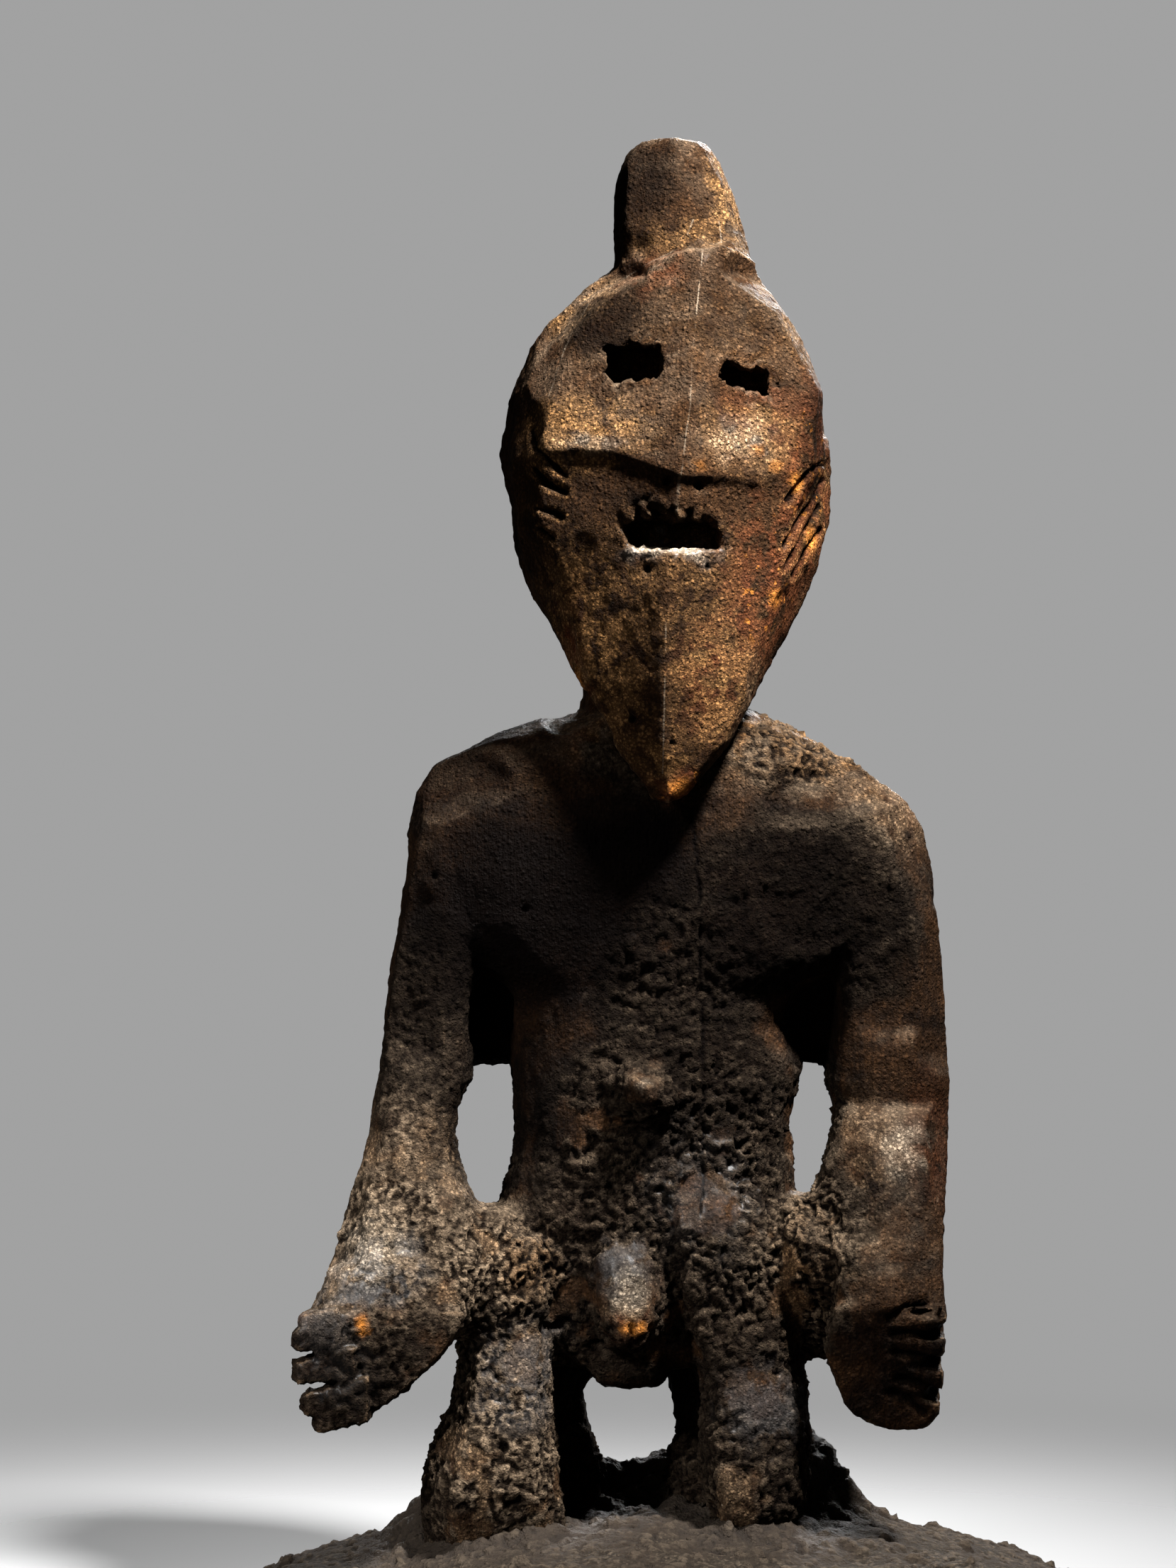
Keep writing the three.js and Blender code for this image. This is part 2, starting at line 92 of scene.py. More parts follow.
def write_points(mesh, points):
    mesh.vertices.foreach_set("co", (points * MM).ravel())
    mesh.update()


def edges_of(mesh):
    ends = np.empty(len(mesh.edges) * 2, dtype=np.int64)
    mesh.edges.foreach_get("vertices", ends)
    return ends.reshape(-1, 2)


def even_out(points, edges, rounds, strength=0.5):
    """Draws every point towards the middle of its neighbours, again and again."""
    count = len(points)
    a, b = edges.T
    shares = np.bincount(a, minlength=count) + np.bincount(b, minlength=count)
    pull = np.broadcast_to(strength, count)[:, None]
    points = points.copy()
    for _ in range(rounds):
        middle = np.empty_like(points)
        for axis in range(3):
            column = points[:, axis]
            total = np.bincount(a, column[b], count) + np.bincount(b, column[a], count)
            middle[:, axis] = total / shares
        points += pull * (middle - points)
    return points


# %% [markdown]
# Masks say where something happens. `step` is a soft threshold, `near` is one inside an ellipsoid
# and fades to nothing at its skin, and `wash` lays many such spots over each other. `field` reads a
# noise at every chosen point, its features as large as the given number of millimetres.

# %% Masks and fields
def step(low, high, values):
    t = np.clip((values - low) / (high - low), 0, 1)
    return t * t * (3 - 2 * t)


def near(points, centre, radii, core=0.55):
    away = np.sqrt((((points - centre) / radii) ** 2).sum(axis=1))
    return 1 - step(core, 1.0, away)


def wash(points, spots, core=0.3):
    """The strongest of many spots, each a centre, radii and a strength."""
    strongest = np.zeros(len(points))
    for centre, radii, strength in spots:
        strongest = np.maximum(strongest, strength * near(points, centre, radii, core))
    return strongest


def field(noise_at, points, size, shift, where):
    values = np.zeros(len(points))
    chosen = np.flatnonzero(np.broadcast_to(where, len(points)))
    places = points[chosen] / size + shift
    values[chosen] = [noise_at(place) for place in places.tolist()]
    return values


def cloud(points, size, shift=0.0, octaves=3, where=True):
    """A soft noise between about -1 and 1."""
    return field(lambda place: noise.fractal(place, 0.9, 2.1, octaves), points, size, shift, where)


def crumbs(points, size, shift=0.0, where=True):
    """Packed round crumbs, 0.3 on top of each and -0.7 at the worst in the creases between them."""
    return field(lambda place: 0.3 - min(1, noise.voronoi(place)[0][0]) ** 2, points, size, shift, where)


def clods(points, size, shift=0.0, where=True):
    """Flat-topped clods of uneven height with crevices between them, from about -0.5 to 0.4."""
    def clod(place):
        away, middles = noise.voronoi(place)
        return min(1, (away[1] - away[0]) / 0.28) * (0.62 + 0.3 * noise.cell(middles[0] * 3.1)) - 0.5
    return field(clod, points, size, shift, where)


def billows(points, size, shift=0.0, where=True):
    """Heaped lumps of three sizes with sharp creases between them, from about -0.4 to 0.4."""
    def heap(place):
        return noise.turbulence(place, 3, True, amplitude_scale=0.6, frequency_scale=2.1) - 0.44
    return field(heap, points, size, shift, where)


# %% [markdown]
# ## The figure, cast again in a fine mesh
#
# The solid of the figure has a few thousand large triangles. A voxel remesh lays an even net of
# small quads over it, which holds facets and crumbs a few millimetres wide. The net replaces the
# solid in the picture, and stays exactly where the solid is.

# %% Recast a solid as an even net
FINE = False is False


def recast(node, name, voxel):
    piece = bpy.data.objects.new(name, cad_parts[node].data.copy())
    bpy.context.collection.objects.link(piece)
    weld = piece.modifiers.new("weld", "WELD")
    weld.merge_threshold = 0.01 * MM
    remesh = piece.modifiers.new("even_net", "REMESH")
    remesh.mode = "VOXEL"
    remesh.voxel_size = voxel * MM
    return settle(piece)


def settle(piece):
    """Makes what the modifiers show the piece's own mesh."""
    graph = bpy.context.evaluated_depsgraph_get()
    mesh = bpy.data.meshes.new_from_object(piece.evaluated_get(graph))
    piece.modifiers.clear()
    piece.data = mesh
    mesh.name = piece.name
    mesh.materials.clear()
    mesh.shade_smooth()
    return piece


FINE_NET = 1.25
NET = FINE_NET if FINE else 2.4
figure = recast("figure", "carved_figure", NET)
points = read_points(figure.data)
edges = edges_of(figure.data)
print("figure net:", len(points), "points")

# %% [markdown]
# ## Joints softened by hand and crust
#
# Where the solids of the arms, the webs and the legs meet the trunk, their joints are hard. On the
# real figure the carver blended them and the crust filled them. Smoothing a mesh rounds everything,
# so it is held back by a mask: strong in the joints, slight elsewhere, and almost none on the head
# and the outer arms.

# %% Soften the joints
JOINTS = [
    # centre, radii
    ((0, 8, 408), (75, 60, 32)),
    ((-82, 4, 300), (45, 55, 62)),
    ((84, 4, 300), (45, 55, 62)),
    ((-84, -26, 166), (50, 50, 55)),
    ((74, -26, 168), (36, 50, 60)),
    ((-52, 6, 140), (60, 60, 60)),
    ((34, 6, 150), (60, 60, 70)),
    ((-10, 20, 120), (60, 60, 60)),
    ((-122, -58, 150), (26, 36, 16)),
    ((104, -50, 148), (36, 36, 14)),
    ((-14, -42, 140), (30, 24, 40)),
    ((10, 20, 626), (60, 45, 22)),
    ((0, 30, 470), (70, 50, 50)),
]
SOFT_BODY = 0.16
SOFT_DETAIL = 0.06
SOFT_JOINT = 0.7
CHIN_HEIGHT = 377

softness = np.full(len(points), SOFT_BODY)
softness[(points[:, 2] > 380) | (np.abs(points[:, 0]) > 92)] = SOFT_DETAIL
for centre, radii in JOINTS:
    softness = np.maximum(softness, SOFT_JOINT * near(points, centre, radii))
face = (points[:, 1] < -25) & (points[:, 2] > CHIN_HEIGHT)
softness[face] = np.minimum(softness[face], SOFT_DETAIL)
rounds = round(60 * (FINE_NET / NET) ** 2)
points = even_out(points, edges, rounds, softness * 0.6)
write_points(figure.data, points)
print("softened in", rounds, "rounds")

# %% [markdown]
# ## Adze facets
#
# An adze takes off one flat chip after another. Each cut here is a plane a little below the
# surface: whatever stands out beyond it, within reach and facing the same way, is pushed back onto
# it. The sides and the back get cuts at random places, always the same ones because the random
# numbers are seeded. The shoulders, the forearms, the crest, the forehead and the navel get the
# broad cuts that show there.

# %% Shave the facets
def shave(points, normals, centre, facing, depth, reach):
    """Pushes what stands out beyond a plane back onto it, within reach of its centre."""
    offset = points - centre
    beyond = np.clip(offset @ facing + depth, 0, 3 * depth)
    close = 1 - step(0.75, 1.0, np.linalg.norm(offset, axis=1) / reach)
    alike = step(0.1, 0.5, normals @ facing)
    return points - (beyond * close * alike)[:, None] * facing


SIDE_CUTS = 520
chance = np.random.default_rng(7)
facing = read_points(figure.data, "normal")
x, y, z = points.T
open_sides = (y > -18) | ((z > 388) & (np.abs(facing[:, 1]) < 0.6) & (y > -50))
open_sides &= z > 75
for place in chance.choice(np.flatnonzero(open_sides), SIDE_CUTS, replace=False):
    depth = chance.uniform(0.35, 0.95)
    points = shave(points, facing, points[place].copy(), facing[place], depth, chance.uniform(15, 26))

BROAD_CUTS = [
    # centre, facing, depth, reach
    ((96, -30, 384), (0.3, -0.62, 0.72), 3.2, 40),
    ((76, -38, 372), (0.05, -0.8, 0.6), 2.0, 34),
    ((84, -41, 344), (0.1, -0.99, -0.1), 2.6, 44),
    ((118, -30, 352), (0.62, -0.76, 0.18), 3.2, 40),
    ((127, -24, 300), (0.78, -0.62, 0.0), 2.6, 48),
    ((106, -38, 312), (0.0, -1.0, -0.05), 1.8, 44),
    ((94, -50, 214), (-0.45, -0.85, 0.2), 2.4, 44),
    ((112, -60, 204), (0.12, -0.95, 0.3), 2.8, 44),
    ((128, -48, 208), (0.86, -0.46, 0.2), 3.0, 46),
    ((118, -62, 174), (0.45, -0.86, 0.2), 1.8, 32),
    ((-112, -58, 206), (-0.3, -0.92, 0.25), 1.8, 40),
    ((-134, -50, 200), (-0.8, -0.5, 0.3), 1.8, 40),
    ((-106, -38, 300), (-0.35, -0.93, 0.05), 2.0, 44),
    ((-100, -34, 372), (-0.35, -0.75, 0.55), 2.0, 40),
    ((-18, -26, 658), (-0.9, -0.42, 0.15), 1.4, 28),
    ((-2, -38, 658), (-0.2, -0.95, 0.2), 1.4, 27),
    ((22, -34, 660), (0.45, -0.85, 0.25), 1.4, 27),
    ((-30, -32, 618), (-0.45, -0.3, 0.84), 2.6, 24),
    ((-46, -34, 600), (-0.72, -0.35, 0.6), 2.2, 24),
    ((48, -30, 618), (0.55, -0.35, 0.76), 2.4, 22),
    ((66, -32, 592), (0.8, -0.35, 0.48), 2.0, 22),
    ((-10, -66, 254), (0.25, -0.5, 0.82), 2.2, 14),
]
for centre, direction, depth, reach in BROAD_CUTS:
    direction = np.array(direction) / np.linalg.norm(direction)
    ahead = ((points - centre) ** 2).sum(axis=1) - 400 * np.clip(facing @ direction, 0, 1)
    place = points[ahead.argmin()].copy()
    points = shave(points, facing, place, direction, depth, reach)
write_points(figure.data, points)
print("cuts:", SIDE_CUTS + len(BROAD_CUTS))

# %% [markdown]
# ## What stands proud and what lies deep
#
# Handling wears whatever stands proud, and whatever lies deep gets painted shade. Comparing the mesh
# with a smoothed copy of itself measures both: a point that lies outside the smoothed skin is on an
# edge, and one inside it is in a hollow. This is done before the crust goes on.

# %% Measure edges and hollows
facing = read_points(figure.data, "normal")


def proudness(points, facing, edges, width, net):
    """Millimetres by which each point stands out from its surroundings, about width across."""
    rounds = max(2, round((width / net) ** 2 / 2))
    return ((points - even_out(points, edges, rounds)) * facing).sum(axis=1)


sharp = proudness(points, facing, edges, 3.5, NET)
broad = proudness(points, facing, edges, 11, NET)
print("sharp:", sharp.min().round(2), sharp.max().round(2))
print("broad:", broad.min().round(2), broad.max().round(2))

# %% [markdown]
# ## The crust
#
# The crust is blood, meal and dust, dried in layers. It lies thick on the belly, hips and legs and
# on top of one shoulder, thin on the forearm, and has flaked off in patches. So it is built from a
# thickness for each region, a patch mask with fairly crisp borders, and a broken surface of heaps,
# flat-topped clods in two sizes and fine grit. A few worn places, such as the navel, stay bare. The
# navel and the cheek under the step of the face are swollen a little.

# %% Lay the crust
CRUST = [
    # centre, radii, thickness
    ((8, -46, 286), (48, 30, 66), 1.8),
    ((10, -44, 222), (80, 44, 62), 3.4),
    ((-10, -30, 160), (104, 66, 50), 3.8),
    ((-72, -20, 84), (56, 70, 84), 2.5),
    ((42, -24, 88), (50, 66, 88), 2.4),
    ((-88, -40, 160), (44, 46, 46), 2.4),
    ((72, -34, 165), (36, 46, 56), 3.8),
    ((-128, -56, 172), (44, 44, 54), 1.5),
    ((-140, -62, 122), (44, 40, 40), 2.0),
    ((58, 0, 402), (50, 56, 28), 2.6),
    ((66, -40, 326), (78, 30, 66), 0.9),
    ((-100, -36, 262), (44, 34, 80), 1.1),
    ((0, 50, 150), (90, 54, 84), 1.8),
    ((-4, 0, 395), (56, 60, 26), 1.4),
    ((-8, 10, 60), (60, 60, 40), 3.4),
    ((84, 0, 62), (26, 60, 40), 3.0),
    ((-81, 0, 225), (26, 50, 50), 1.6),
    ((72, 0, 228), (22, 50, 48), 2.2),
]
BARE = [
    # centre, radii, strength
    ((-9, -66, 252), (15, 20, 11), 1.0),
    ((-16, -58, 160), (19, 24, 26), 0.85),
    ((22, -50, 198), (17, 20, 20), 1.0),
    ((34, -62, 60), (14, 24, 20), 0.9),
    ((-62, -60, 128), (14, 24, 18), 0.8),
    ((46, -56, 112), (20, 24, 14), 0.9),
    ((84, -14, 386), (16, 26, 10), 0.7),
]
warp = np.column_stack([cloud(points, 9, shift, 2) for shift in (3.1, 17.7, 41.3)]) * 2.2
roam = points + warp * 3
thickness = np.zeros(len(points))
for centre, radii, thick in CRUST:
    thickness = np.maximum(thickness, thick * near(roam, centre, radii))
crusted = thickness > 0.05
patches = cloud(points, 30, 5.5, where=crusted) + 0.35 * cloud(points, 8, 9.1, where=crusted)
flaked = step(1.0, 1.6, thickness) * (1 - step(-0.5, -0.38, patches))
present = (1 - flaked) * step(0.15, 0.6, thickness) * (1 - wash(roam, BARE, 0.7))

HEAP, CLOD, SMALL_CLOD, GRAIN, PIT = 17, 7.5, 3.8, 3.2, 9  # millimetres across
heaps = 1.1 * billows(points + warp, HEAP, 2.2, crusted)
packed = 0.5 * clods(points + 1.4 * warp, CLOD, 0.0, crusted)
packed += 0.4 * clods(points + warp, SMALL_CLOD, 3.3, crusted)
fine_grit = 0.75 * cloud(points, GRAIN, 7.7, 2, crusted)
pits = step(0.45, 0.62, cloud(points, PIT, 21.0, 2, crusted))
height = thickness * (0.15 + heaps + packed - 0.5 * pits) + np.sqrt(thickness) * fine_grit
height *= present
SWELLINGS = [
    # centre, radii, height
    ((-9, -64, 250), (13, 16, 11), 2.6),
    ((38, -50, 524), (34, 24, 10), 2.0),
]
for centre, radii, swelling in SWELLINGS:
    height += swelling * near(points, centre, radii, core=0.1)
print("crust:", round(float(present.mean()), 2), "of the figure, up to", height.max().round(1), "mm")

# %% [markdown]
# ## Grain, cracks and small holes
#
# Bare wood has its own relief. The face is granular like coarse leather, the chest shows upright
# grain, one long drying crack runs down the front, and there are a few small round holes.

# %% Grain of the bare wood
front = step(0.1, 0.6, -facing[:, 1])
on_face = step(378, 392, z) * front
of_face, bare = on_face > 0, 1 - present
granular = 0.5 * crumbs(points + 0.5 * warp, np.array([3.2, 3.0, 2.6]), 2.0, of_face)
granular += 0.3 * cloud(points, 4.5, 8.8, 3, of_face) + 0.35 * cloud(points, 15, 4.4, 2, of_face)
upright = 0.4 * cloud(points, np.array([2.8, 2.8, 20.0]), 1.5, 3)
leathery = 0.8 * crumbs(points + 0.4 * warp, 3.8, 6.0) + 0.3 * cloud(points, 5, 12.0, 2)
turned_away = step(-10, 40, y)
height += on_face * granular * (0.75 + 0.35 * step(530, 505, z))
height += (1 - on_face) * bare * (upright + leathery) * (1 - 0.6 * turned_away)

# %% [markdown]
# The eyes and the mouth were cut with a narrow blade and their edges have crumbled. A coarse noise
# around them breaks the straight edges of the solid. It pushes in and out everywhere, and from the
# teeth upwards also sideways and up and down. The lower lip keeps a rough pale swelling.

# %% Crumbled eyes and mouth
SOCKETS = [
    # centre, radii, strength
    ((-13, -52, 579), (23, 26, 17), 1.0),
    ((39, -50, 571), (20, 26, 15), 1.0),
    ((5, -62, 503), (31, 30, 23), 1.0),
]
crumbling = wash(points, SOCKETS, 0.72) * step(377, 385, z)
ragged = 1.6 * cloud(points, 4.4, 31.0, 3, crumbling > 0)
ragged += 1.5 * crumbs(points + warp * 0.5, 4.4, 9.9, crumbling > 0)
height += crumbling * ragged
ragged_x = 2.6 * cloud(points, 6.5, 71.0, 2, crumbling > 0)
ragged_z = 3.0 * cloud(points, 6.0, 83.0, 2, crumbling > 0)
shifts = np.column_stack([ragged_x, np.zeros_like(ragged_x), ragged_z])
frayed = (crumbling * step(490, 512, z))[:, None] * shifts
LOWER_LIP = ((5, -66, 492.5), (27, 14, 4.5))
LIP_HEIGHT = 1.6
height += LIP_HEIGHT * near(points, *LOWER_LIP, core=0.2) * (1 + crumbs(points, 4.5, 1.0))

# %% [markdown]
# Scars are cut into both cheeks, with the wood raised a little beside them, grooves part the
# fingers of the closed hand, and a drying crack runs down the front. All of them are chains of
# points seen from the front: the nearer a point of the mesh lies to the chain, the deeper it sinks.

# %% Scars, finger grooves and the drying crack
def beside_line(points, line):
    """The distance in the front view from each point to a chain of straight stretches."""
    here = points[:, [0, 2]]
    nearest = np.full(len(points), np.inf)
    for start, end in zip(line[:-1], line[1:]):
        start, along = np.array(start), np.subtract(end, start)
        share = np.clip((here - start) @ along / (along @ along), 0, 1)
        nearest = np.minimum(nearest, np.linalg.norm(here - start - share[:, None] * along, axis=1))
    return nearest


def beside_lines(points, lines):
    return np.min([beside_line(points, line) for line in lines], axis=0)


SCARS = [
    # points as x and z
    [(-58.9, 549.5), (-57.6, 540.9), (-52.5, 535.8), (-43.4, 527.4)],
    [(-58.4, 531.2), (-53.1, 524.5), (-43.4, 520)],
    [(-56.3, 513.2), (-47.9, 510.3), (-45.7, 508.7)],
    [(-55.3, 503.6), (-49.6, 499)],
    [(74.5, 534.7), (66, 528.2), (58.2, 517.4)],
    [(75.7, 528.2), (70.2, 517.4), (63.7, 508.7), (56.2, 495.7)],
    [(73.5, 515.5), (66, 502.5), (56.5, 485.3)],
    [(74.1, 504.8), (67.6, 495.1), (60.5, 482.9)],
]
SCAR_DEPTH = 2.0
SCAR_LIP = 0.15
scar_distance = beside_lines(points, SCARS) + 0.4 * warp[:, 0]
on_cheeks = step(10, -5, y) * step(0.25, 0.0, facing[:, 1])
scars = on_cheeks * (1 - step(0.35, 1.6, scar_distance))
lips = on_cheeks * step(1.3, 2.0, scar_distance) * (1 - step(2.2, 3.6, scar_distance))
height += SCAR_LIP * lips - SCAR_DEPTH * scars

FINGER_GROOVES = [
    [(103.3, 146.2), (111, 151), (119.4, 152.2)],
    [(104.5, 138.7), (113, 139), (122.9, 137.4)],
    [(105.8, 130), (115.8, 128.6), (125.4, 125.2)],
    [(107.1, 117.8), (116, 116), (125.4, 110.4)],
    [(104.5, 111.7), (112, 108.2), (119.4, 102)],
]
GROOVE_DEPTH = 2.6
groove_distance = beside_lines(points, FINGER_GROOVES)
on_hand = (y < -20) * step(0.2, -0.1, facing[:, 1])
grooves = on_hand * (1 - step(0.6, 2.8, groove_distance + 0.3 * warp[:, 0]))
height -= GROOVE_DEPTH * grooves

CRACK = [(14.5, 376), (16.5, 350), (18.0, 323), (18.6, 306), (19.2, 290), (19.0, 250),
         (19.6, 220), (18.8, 190)]
CRACK_DEPTH = 1.2
strayed = points + 0.7 * warp * (1, 0, 0)
open_here = step(-0.45, -0.2, cloud(points * (0, 0, 1), 14, 9, 2))
crack = front * open_here * (1 - step(0.25, 1.1, beside_line(strayed, CRACK)))
height -= CRACK_DEPTH * crack

# %% Small holes
HOLES = [
    # x, z, radius, depth
    (-13.7, 416.5, 2.4, 2.2), (4.5, 406, 1.6, 1.2), (-6.8, 484.5, 2.2, 1.6), (5.1, 489.8, 1.6, 1.2),
    (21.3, 485.7, 2.2, 1.6), (32.2, 617, 1.4, 1.0), (-62, 330, 2, 2), (-104, 345, 1.8, 2),
]
holes = np.zeros(len(points))
for hole_x, hole_z, radius, depth in HOLES:
    away = np.hypot(x - hole_x, z - hole_z) / radius
    dent = front * (1 - step(0.4, 1.15, away))
    holes = np.maximum(holes, dent)
    height -= depth * dent

points = points + facing * height[:, None] + frayed
write_points(figure.data, points)
print("points moved by", height.min().round(2), "to", height.max().round(2), "mm")

# %% [markdown]
# ## Where the colours lie
#
# The wood is dark from smoke. Ochre dust has settled on the face and on what looks up, rust-red
# shows where the wood is rubbed through, and bluish grey lies where the patina is smooth. Soot lies
# on the body, and some of its spots are painted shade: under the chin, on the left of the chest, the
# shoulder and the head, behind the arms, under the navel and above the mouth. Some places are
# rubbed pale, some shine, in some the crust is browner, and chips are flakes of bare orange wood.
# Each gets a list of soft spots, with edges carried about by the same noise as the crust. The finish
# breaks them up further.

# %% Spots of colour: centre, radii, strength
OCHRE = [
    ((-32, -45, 546), (50, 50, 24), 1.0), ((-10, -45, 590), (46, 45, 36), 0.1),
    ((-46, -20, 612), (40, 36, 24), 0.9), ((12, -15, 640), (40, 44, 12), 0.5),
    ((32, -10, 664), (12, 44, 44), 0.9), ((32, -45, 544), (40, 45, 24), 1.0),
    ((64, -20, 606), (26, 30, 40), 0.4), ((0, -60, 468), (60, 40, 58), 0.45),
    ((34, -50, 590), (36, 40, 30), 0.15), ((18, -50, 436), (40, 40, 50), 0.9),
    ((-34, -50, 476), (34, 40, 36), 0.8), ((-22, -50, 440), (38, 44, 60), 1.0),
    ((-34, -44, 470), (24, 40, 40), 0.8), ((2, -60, 398), (16, 30, 14), 1.0),
    ((64, -5, 402), (62, 64, 24), 0.7), ((104, -30, 372), (28, 40, 20), 0.6),
    ((92, -55, 226), (20, 44, 40), 0.35), ((-128, -55, 188), (52, 52, 72), 1.0),
    ((-88, -40, 165), (54, 54, 48), 0.9), ((72, -35, 170), (44, 54, 54), 0.5),
    ((34, -60, 60), (18, 30, 26), 0.8), ((-74, -45, 96), (50, 54, 84), 0.85),
    ((-15, -60, 146), (14, 24, 12), 1.0), ((84, -20, 66), (20, 50, 30), 0.7),
]
RUST = [
    ((68, -30, 524), (24, 44, 64), 1.0), ((46, -45, 478), (40, 44, 62), 0.8),
    ((18, -50, 440), (30, 34, 44), 0.7), ((-38, -38, 444), (14, 30, 56), 0.8),
    ((8, -58, 386), (16, 24, 14), 1.0), ((-12, -42, 624), (32, 34, 18), 0.6),
    ((42, -50, 552), (34, 34, 30), 0.45), ((-165, -68, 122), (24, 34, 40), 0.5),
    ((44, -50, 330), (44, 34, 44), 0.4), ((-14, -58, 138), (16, 24, 12), 0.9),
    ((126, -40, 226), (20, 34, 44), 0.3),
]
GREY = [
    ((20, -50, 640), (12, 26, 11), 1.0), ((-128, -60, 176), (24, 34, 14), 0.3),
    ((5, -66, 492), (30, 18, 9), 0.9), ((-17, -60, 168), (20, 26, 18), 0.7),
    ((-130, -65, 168), (30, 34, 24), 0.95),
    ((-62, -50, 118), (34, 34, 36), 0.6), ((20, -52, 205), (40, 30, 48), 0.15),
    ((48, -50, 104), (26, 34, 26), 0.6), ((-152, -64, 148), (26, 36, 24), 0.5),
]
# soot, and painted shade: under the chin, on the left of the chest, shoulder and head, in the gaps behind
# the arms, under the navel and above the mouth
SOOT_AND_SHADE = [
    ((-60, -34, 330), (110, 60, 96), 1.0), ((-20, -44, 352), (70, 60, 50), 1.0),
    ((54, -44, 342), (62, 50, 46), 0.8), ((74, -34, 368), (40, 44, 20), 0.55),
    ((-6, -38, 668), (26, 40, 36), 0.95), ((72, -30, 540), (14, 40, 50), 0.8),
    ((66, 0, 402), (60, 66, 30), 0.3), ((46, -50, 90), (30, 40, 60), 0.35),
    ((-66, -40, 90), (40, 50, 70), 0.2), ((-17, -60, 165), (20, 26, 22), 0.55),
    ((-16, -60, 140), (20, 26, 14), 0.4), ((126, -40, 215), (16, 50, 60), 0.4),
    ((-128, -60, 176), (30, 34, 30), 0.3), ((-20, -66, 232), (16, 20, 10), 0.8),
    ((124, -36, 250), (16, 40, 60), 0.6), ((-92, -8, 388), (74, 84, 42), 0.85),
    ((0, 14, 404), (64, 70, 44), 0.9), ((-124, -10, 300), (34, 64, 84), 0.45),
    ((-66, -30, 248), (44, 64, 70), 0.8), ((114, -60, 132), (46, 54, 52), 0.6),
    ((-80, 6, 276), (44, 64, 48), 0.9), ((82, 6, 276), (44, 64, 48), 0.9),
    ((-92, 10, 520), (38, 64, 96), 0.6), ((-20, 0, 672), (20, 64, 48), 0.7),
    ((-8, 4, 96), (26, 64, 56), 1.0), ((0, 80, 250), (130, 70, 210), 0.35),
    ((110, 20, 270), (50, 50, 90), 0.3), ((56, -10, 100), (20, 60, 70), 0.3),
    ((-10, -20, 668), (26, 64, 40), 0.7),
    ((60, -40, 314), (95, 40, 50), 0.85), ((20, -46, 262), (70, 40, 60), 0.65),
    ((3, -62, 514), (31, 20, 16), 1.0), ((-150, -64, 120), (40, 50, 40), 0.65),
    ((124, -30, 330), (30, 50, 60), 0.4), ((34, -46, 604), (30, 34, 34), 0.4),
    ((-24, -40, 602), (38, 30, 34), 0.85), ((-48, -34, 508), (20, 34, 44), 0.5),
]
PALE = [
    ((5, -68, 492.5), (28, 16, 4), 1.0), ((-130, -62, 178), (24, 34, 24), 0.3),
    ((-10, -68, 251), (12, 14, 8), 0.25), ((-15, -62, 158), (12, 20, 16), 0.4),
    ((28, -50, 542), (30, 30, 18), 0.35), ((-24, -46, 541), (34, 30, 8), 0.5),
    ((112, -62, 232), (20, 24, 26), 0.5),
]
GLOSS = [
    ((-152, -64, 124), (34, 40, 34), 0.25), ((-125, -62, 168), (24, 40, 18), 0.3),
    ((40, -60, 460), (40, 40, 60), 0.3), ((5, -66, 495), (34, 24, 14), 0.6),
    ((20, -50, 200), (30, 30, 30), 0.4),
]
WARM = [
    ((62, 0, 402), (66, 66, 34), 1.0), ((-60, -50, 168), (20, 40, 26), 0.8),
    ((70, -40, 170), (26, 40, 40), 0.6), ((-96, -50, 226), (24, 40, 26), 0.6),
    ((-36, -40, 92), (16, 40, 40), 0.7),
]
CHIPS = [
    ((-135, -72, 143), (3, 24, 6), 0.8), ((16.7, -60, 530.4), (4.5, 24, 4.5), 1.0),
    ((61.7, -40, 524.5), (4.5, 30, 6), 0.9), ((52, -48, 532), (4, 24, 3), 0.8),
    ((44, -52, 539), (4, 24, 3), 0.7), ((70, -30, 500), (4, 30, 8), 0.8),
    ((52, -48, 472), (4, 30, 5), 0.8), ((8, -64, 386), (7, 24, 5), 0.8),
    ((-12, -60, 140), (8, 24, 4), 0.8), ((-38, -44, 430), (4, 24, 14), 0.7),
]

# %% [markdown]
# Every mask is stored with the mesh as one number for each point, where the finish reads it by name.

# %% Keep the masks with the mesh
def keep(mesh, name, values):
    attribute = mesh.attributes.new(name, "FLOAT", "POINT")
    attribute.data.foreach_set("value", np.ascontiguousarray(values, dtype=np.float32))


MASKS = {
    "crust": present,
    "edge": sharp,
    "hollow": -broad,
    "crumb": proudness(points, facing, edges, 5, NET),
    "crack": np.maximum(np.maximum(crack, holes), 0.7 * grooves),
    "scar": scars,
    "lip": lips,
    "face": on_face,
    "ochre": wash(roam, OCHRE),
    "rust": wash(roam, RUST),
    "grey": wash(roam, GREY),
    "soot_and_shade": wash(roam, SOOT_AND_SHADE),
    "pale": wash(roam, PALE),
    "gloss": wash(roam, GLOSS),
    "warm": wash(roam, WARM),
    "chip": wash(points + 0.7 * warp, CHIPS),
}
for name, values in MASKS.items():
    keep(figure.data, name, values)
print("masks:", {name: round(float(values.mean()), 2) for name, values in MASKS.items()})

# %% [markdown]
# The net is now finer than it needs to be where little happens. Collapsing the shortest edges of
# the flat stretches keeps the points for the crust and the face.

# %% Thin the net
FIGURE_TRIANGLES = 196_000
MOUND_TRIANGLES = 120_000


def thin(piece, most):
    triangles = sum(len(face.vertices) - 2 for face in piece.data.polygons)
    if triangles > most:
        collapse = piece.modifiers.new("thin", "DECIMATE")
        collapse.ratio = most / triangles
        settle(piece)
    print(piece.name, "thinned from", triangles, "to", len(piece.data.polygons), "faces")


thin(figure, FIGURE_TRIANGLES)

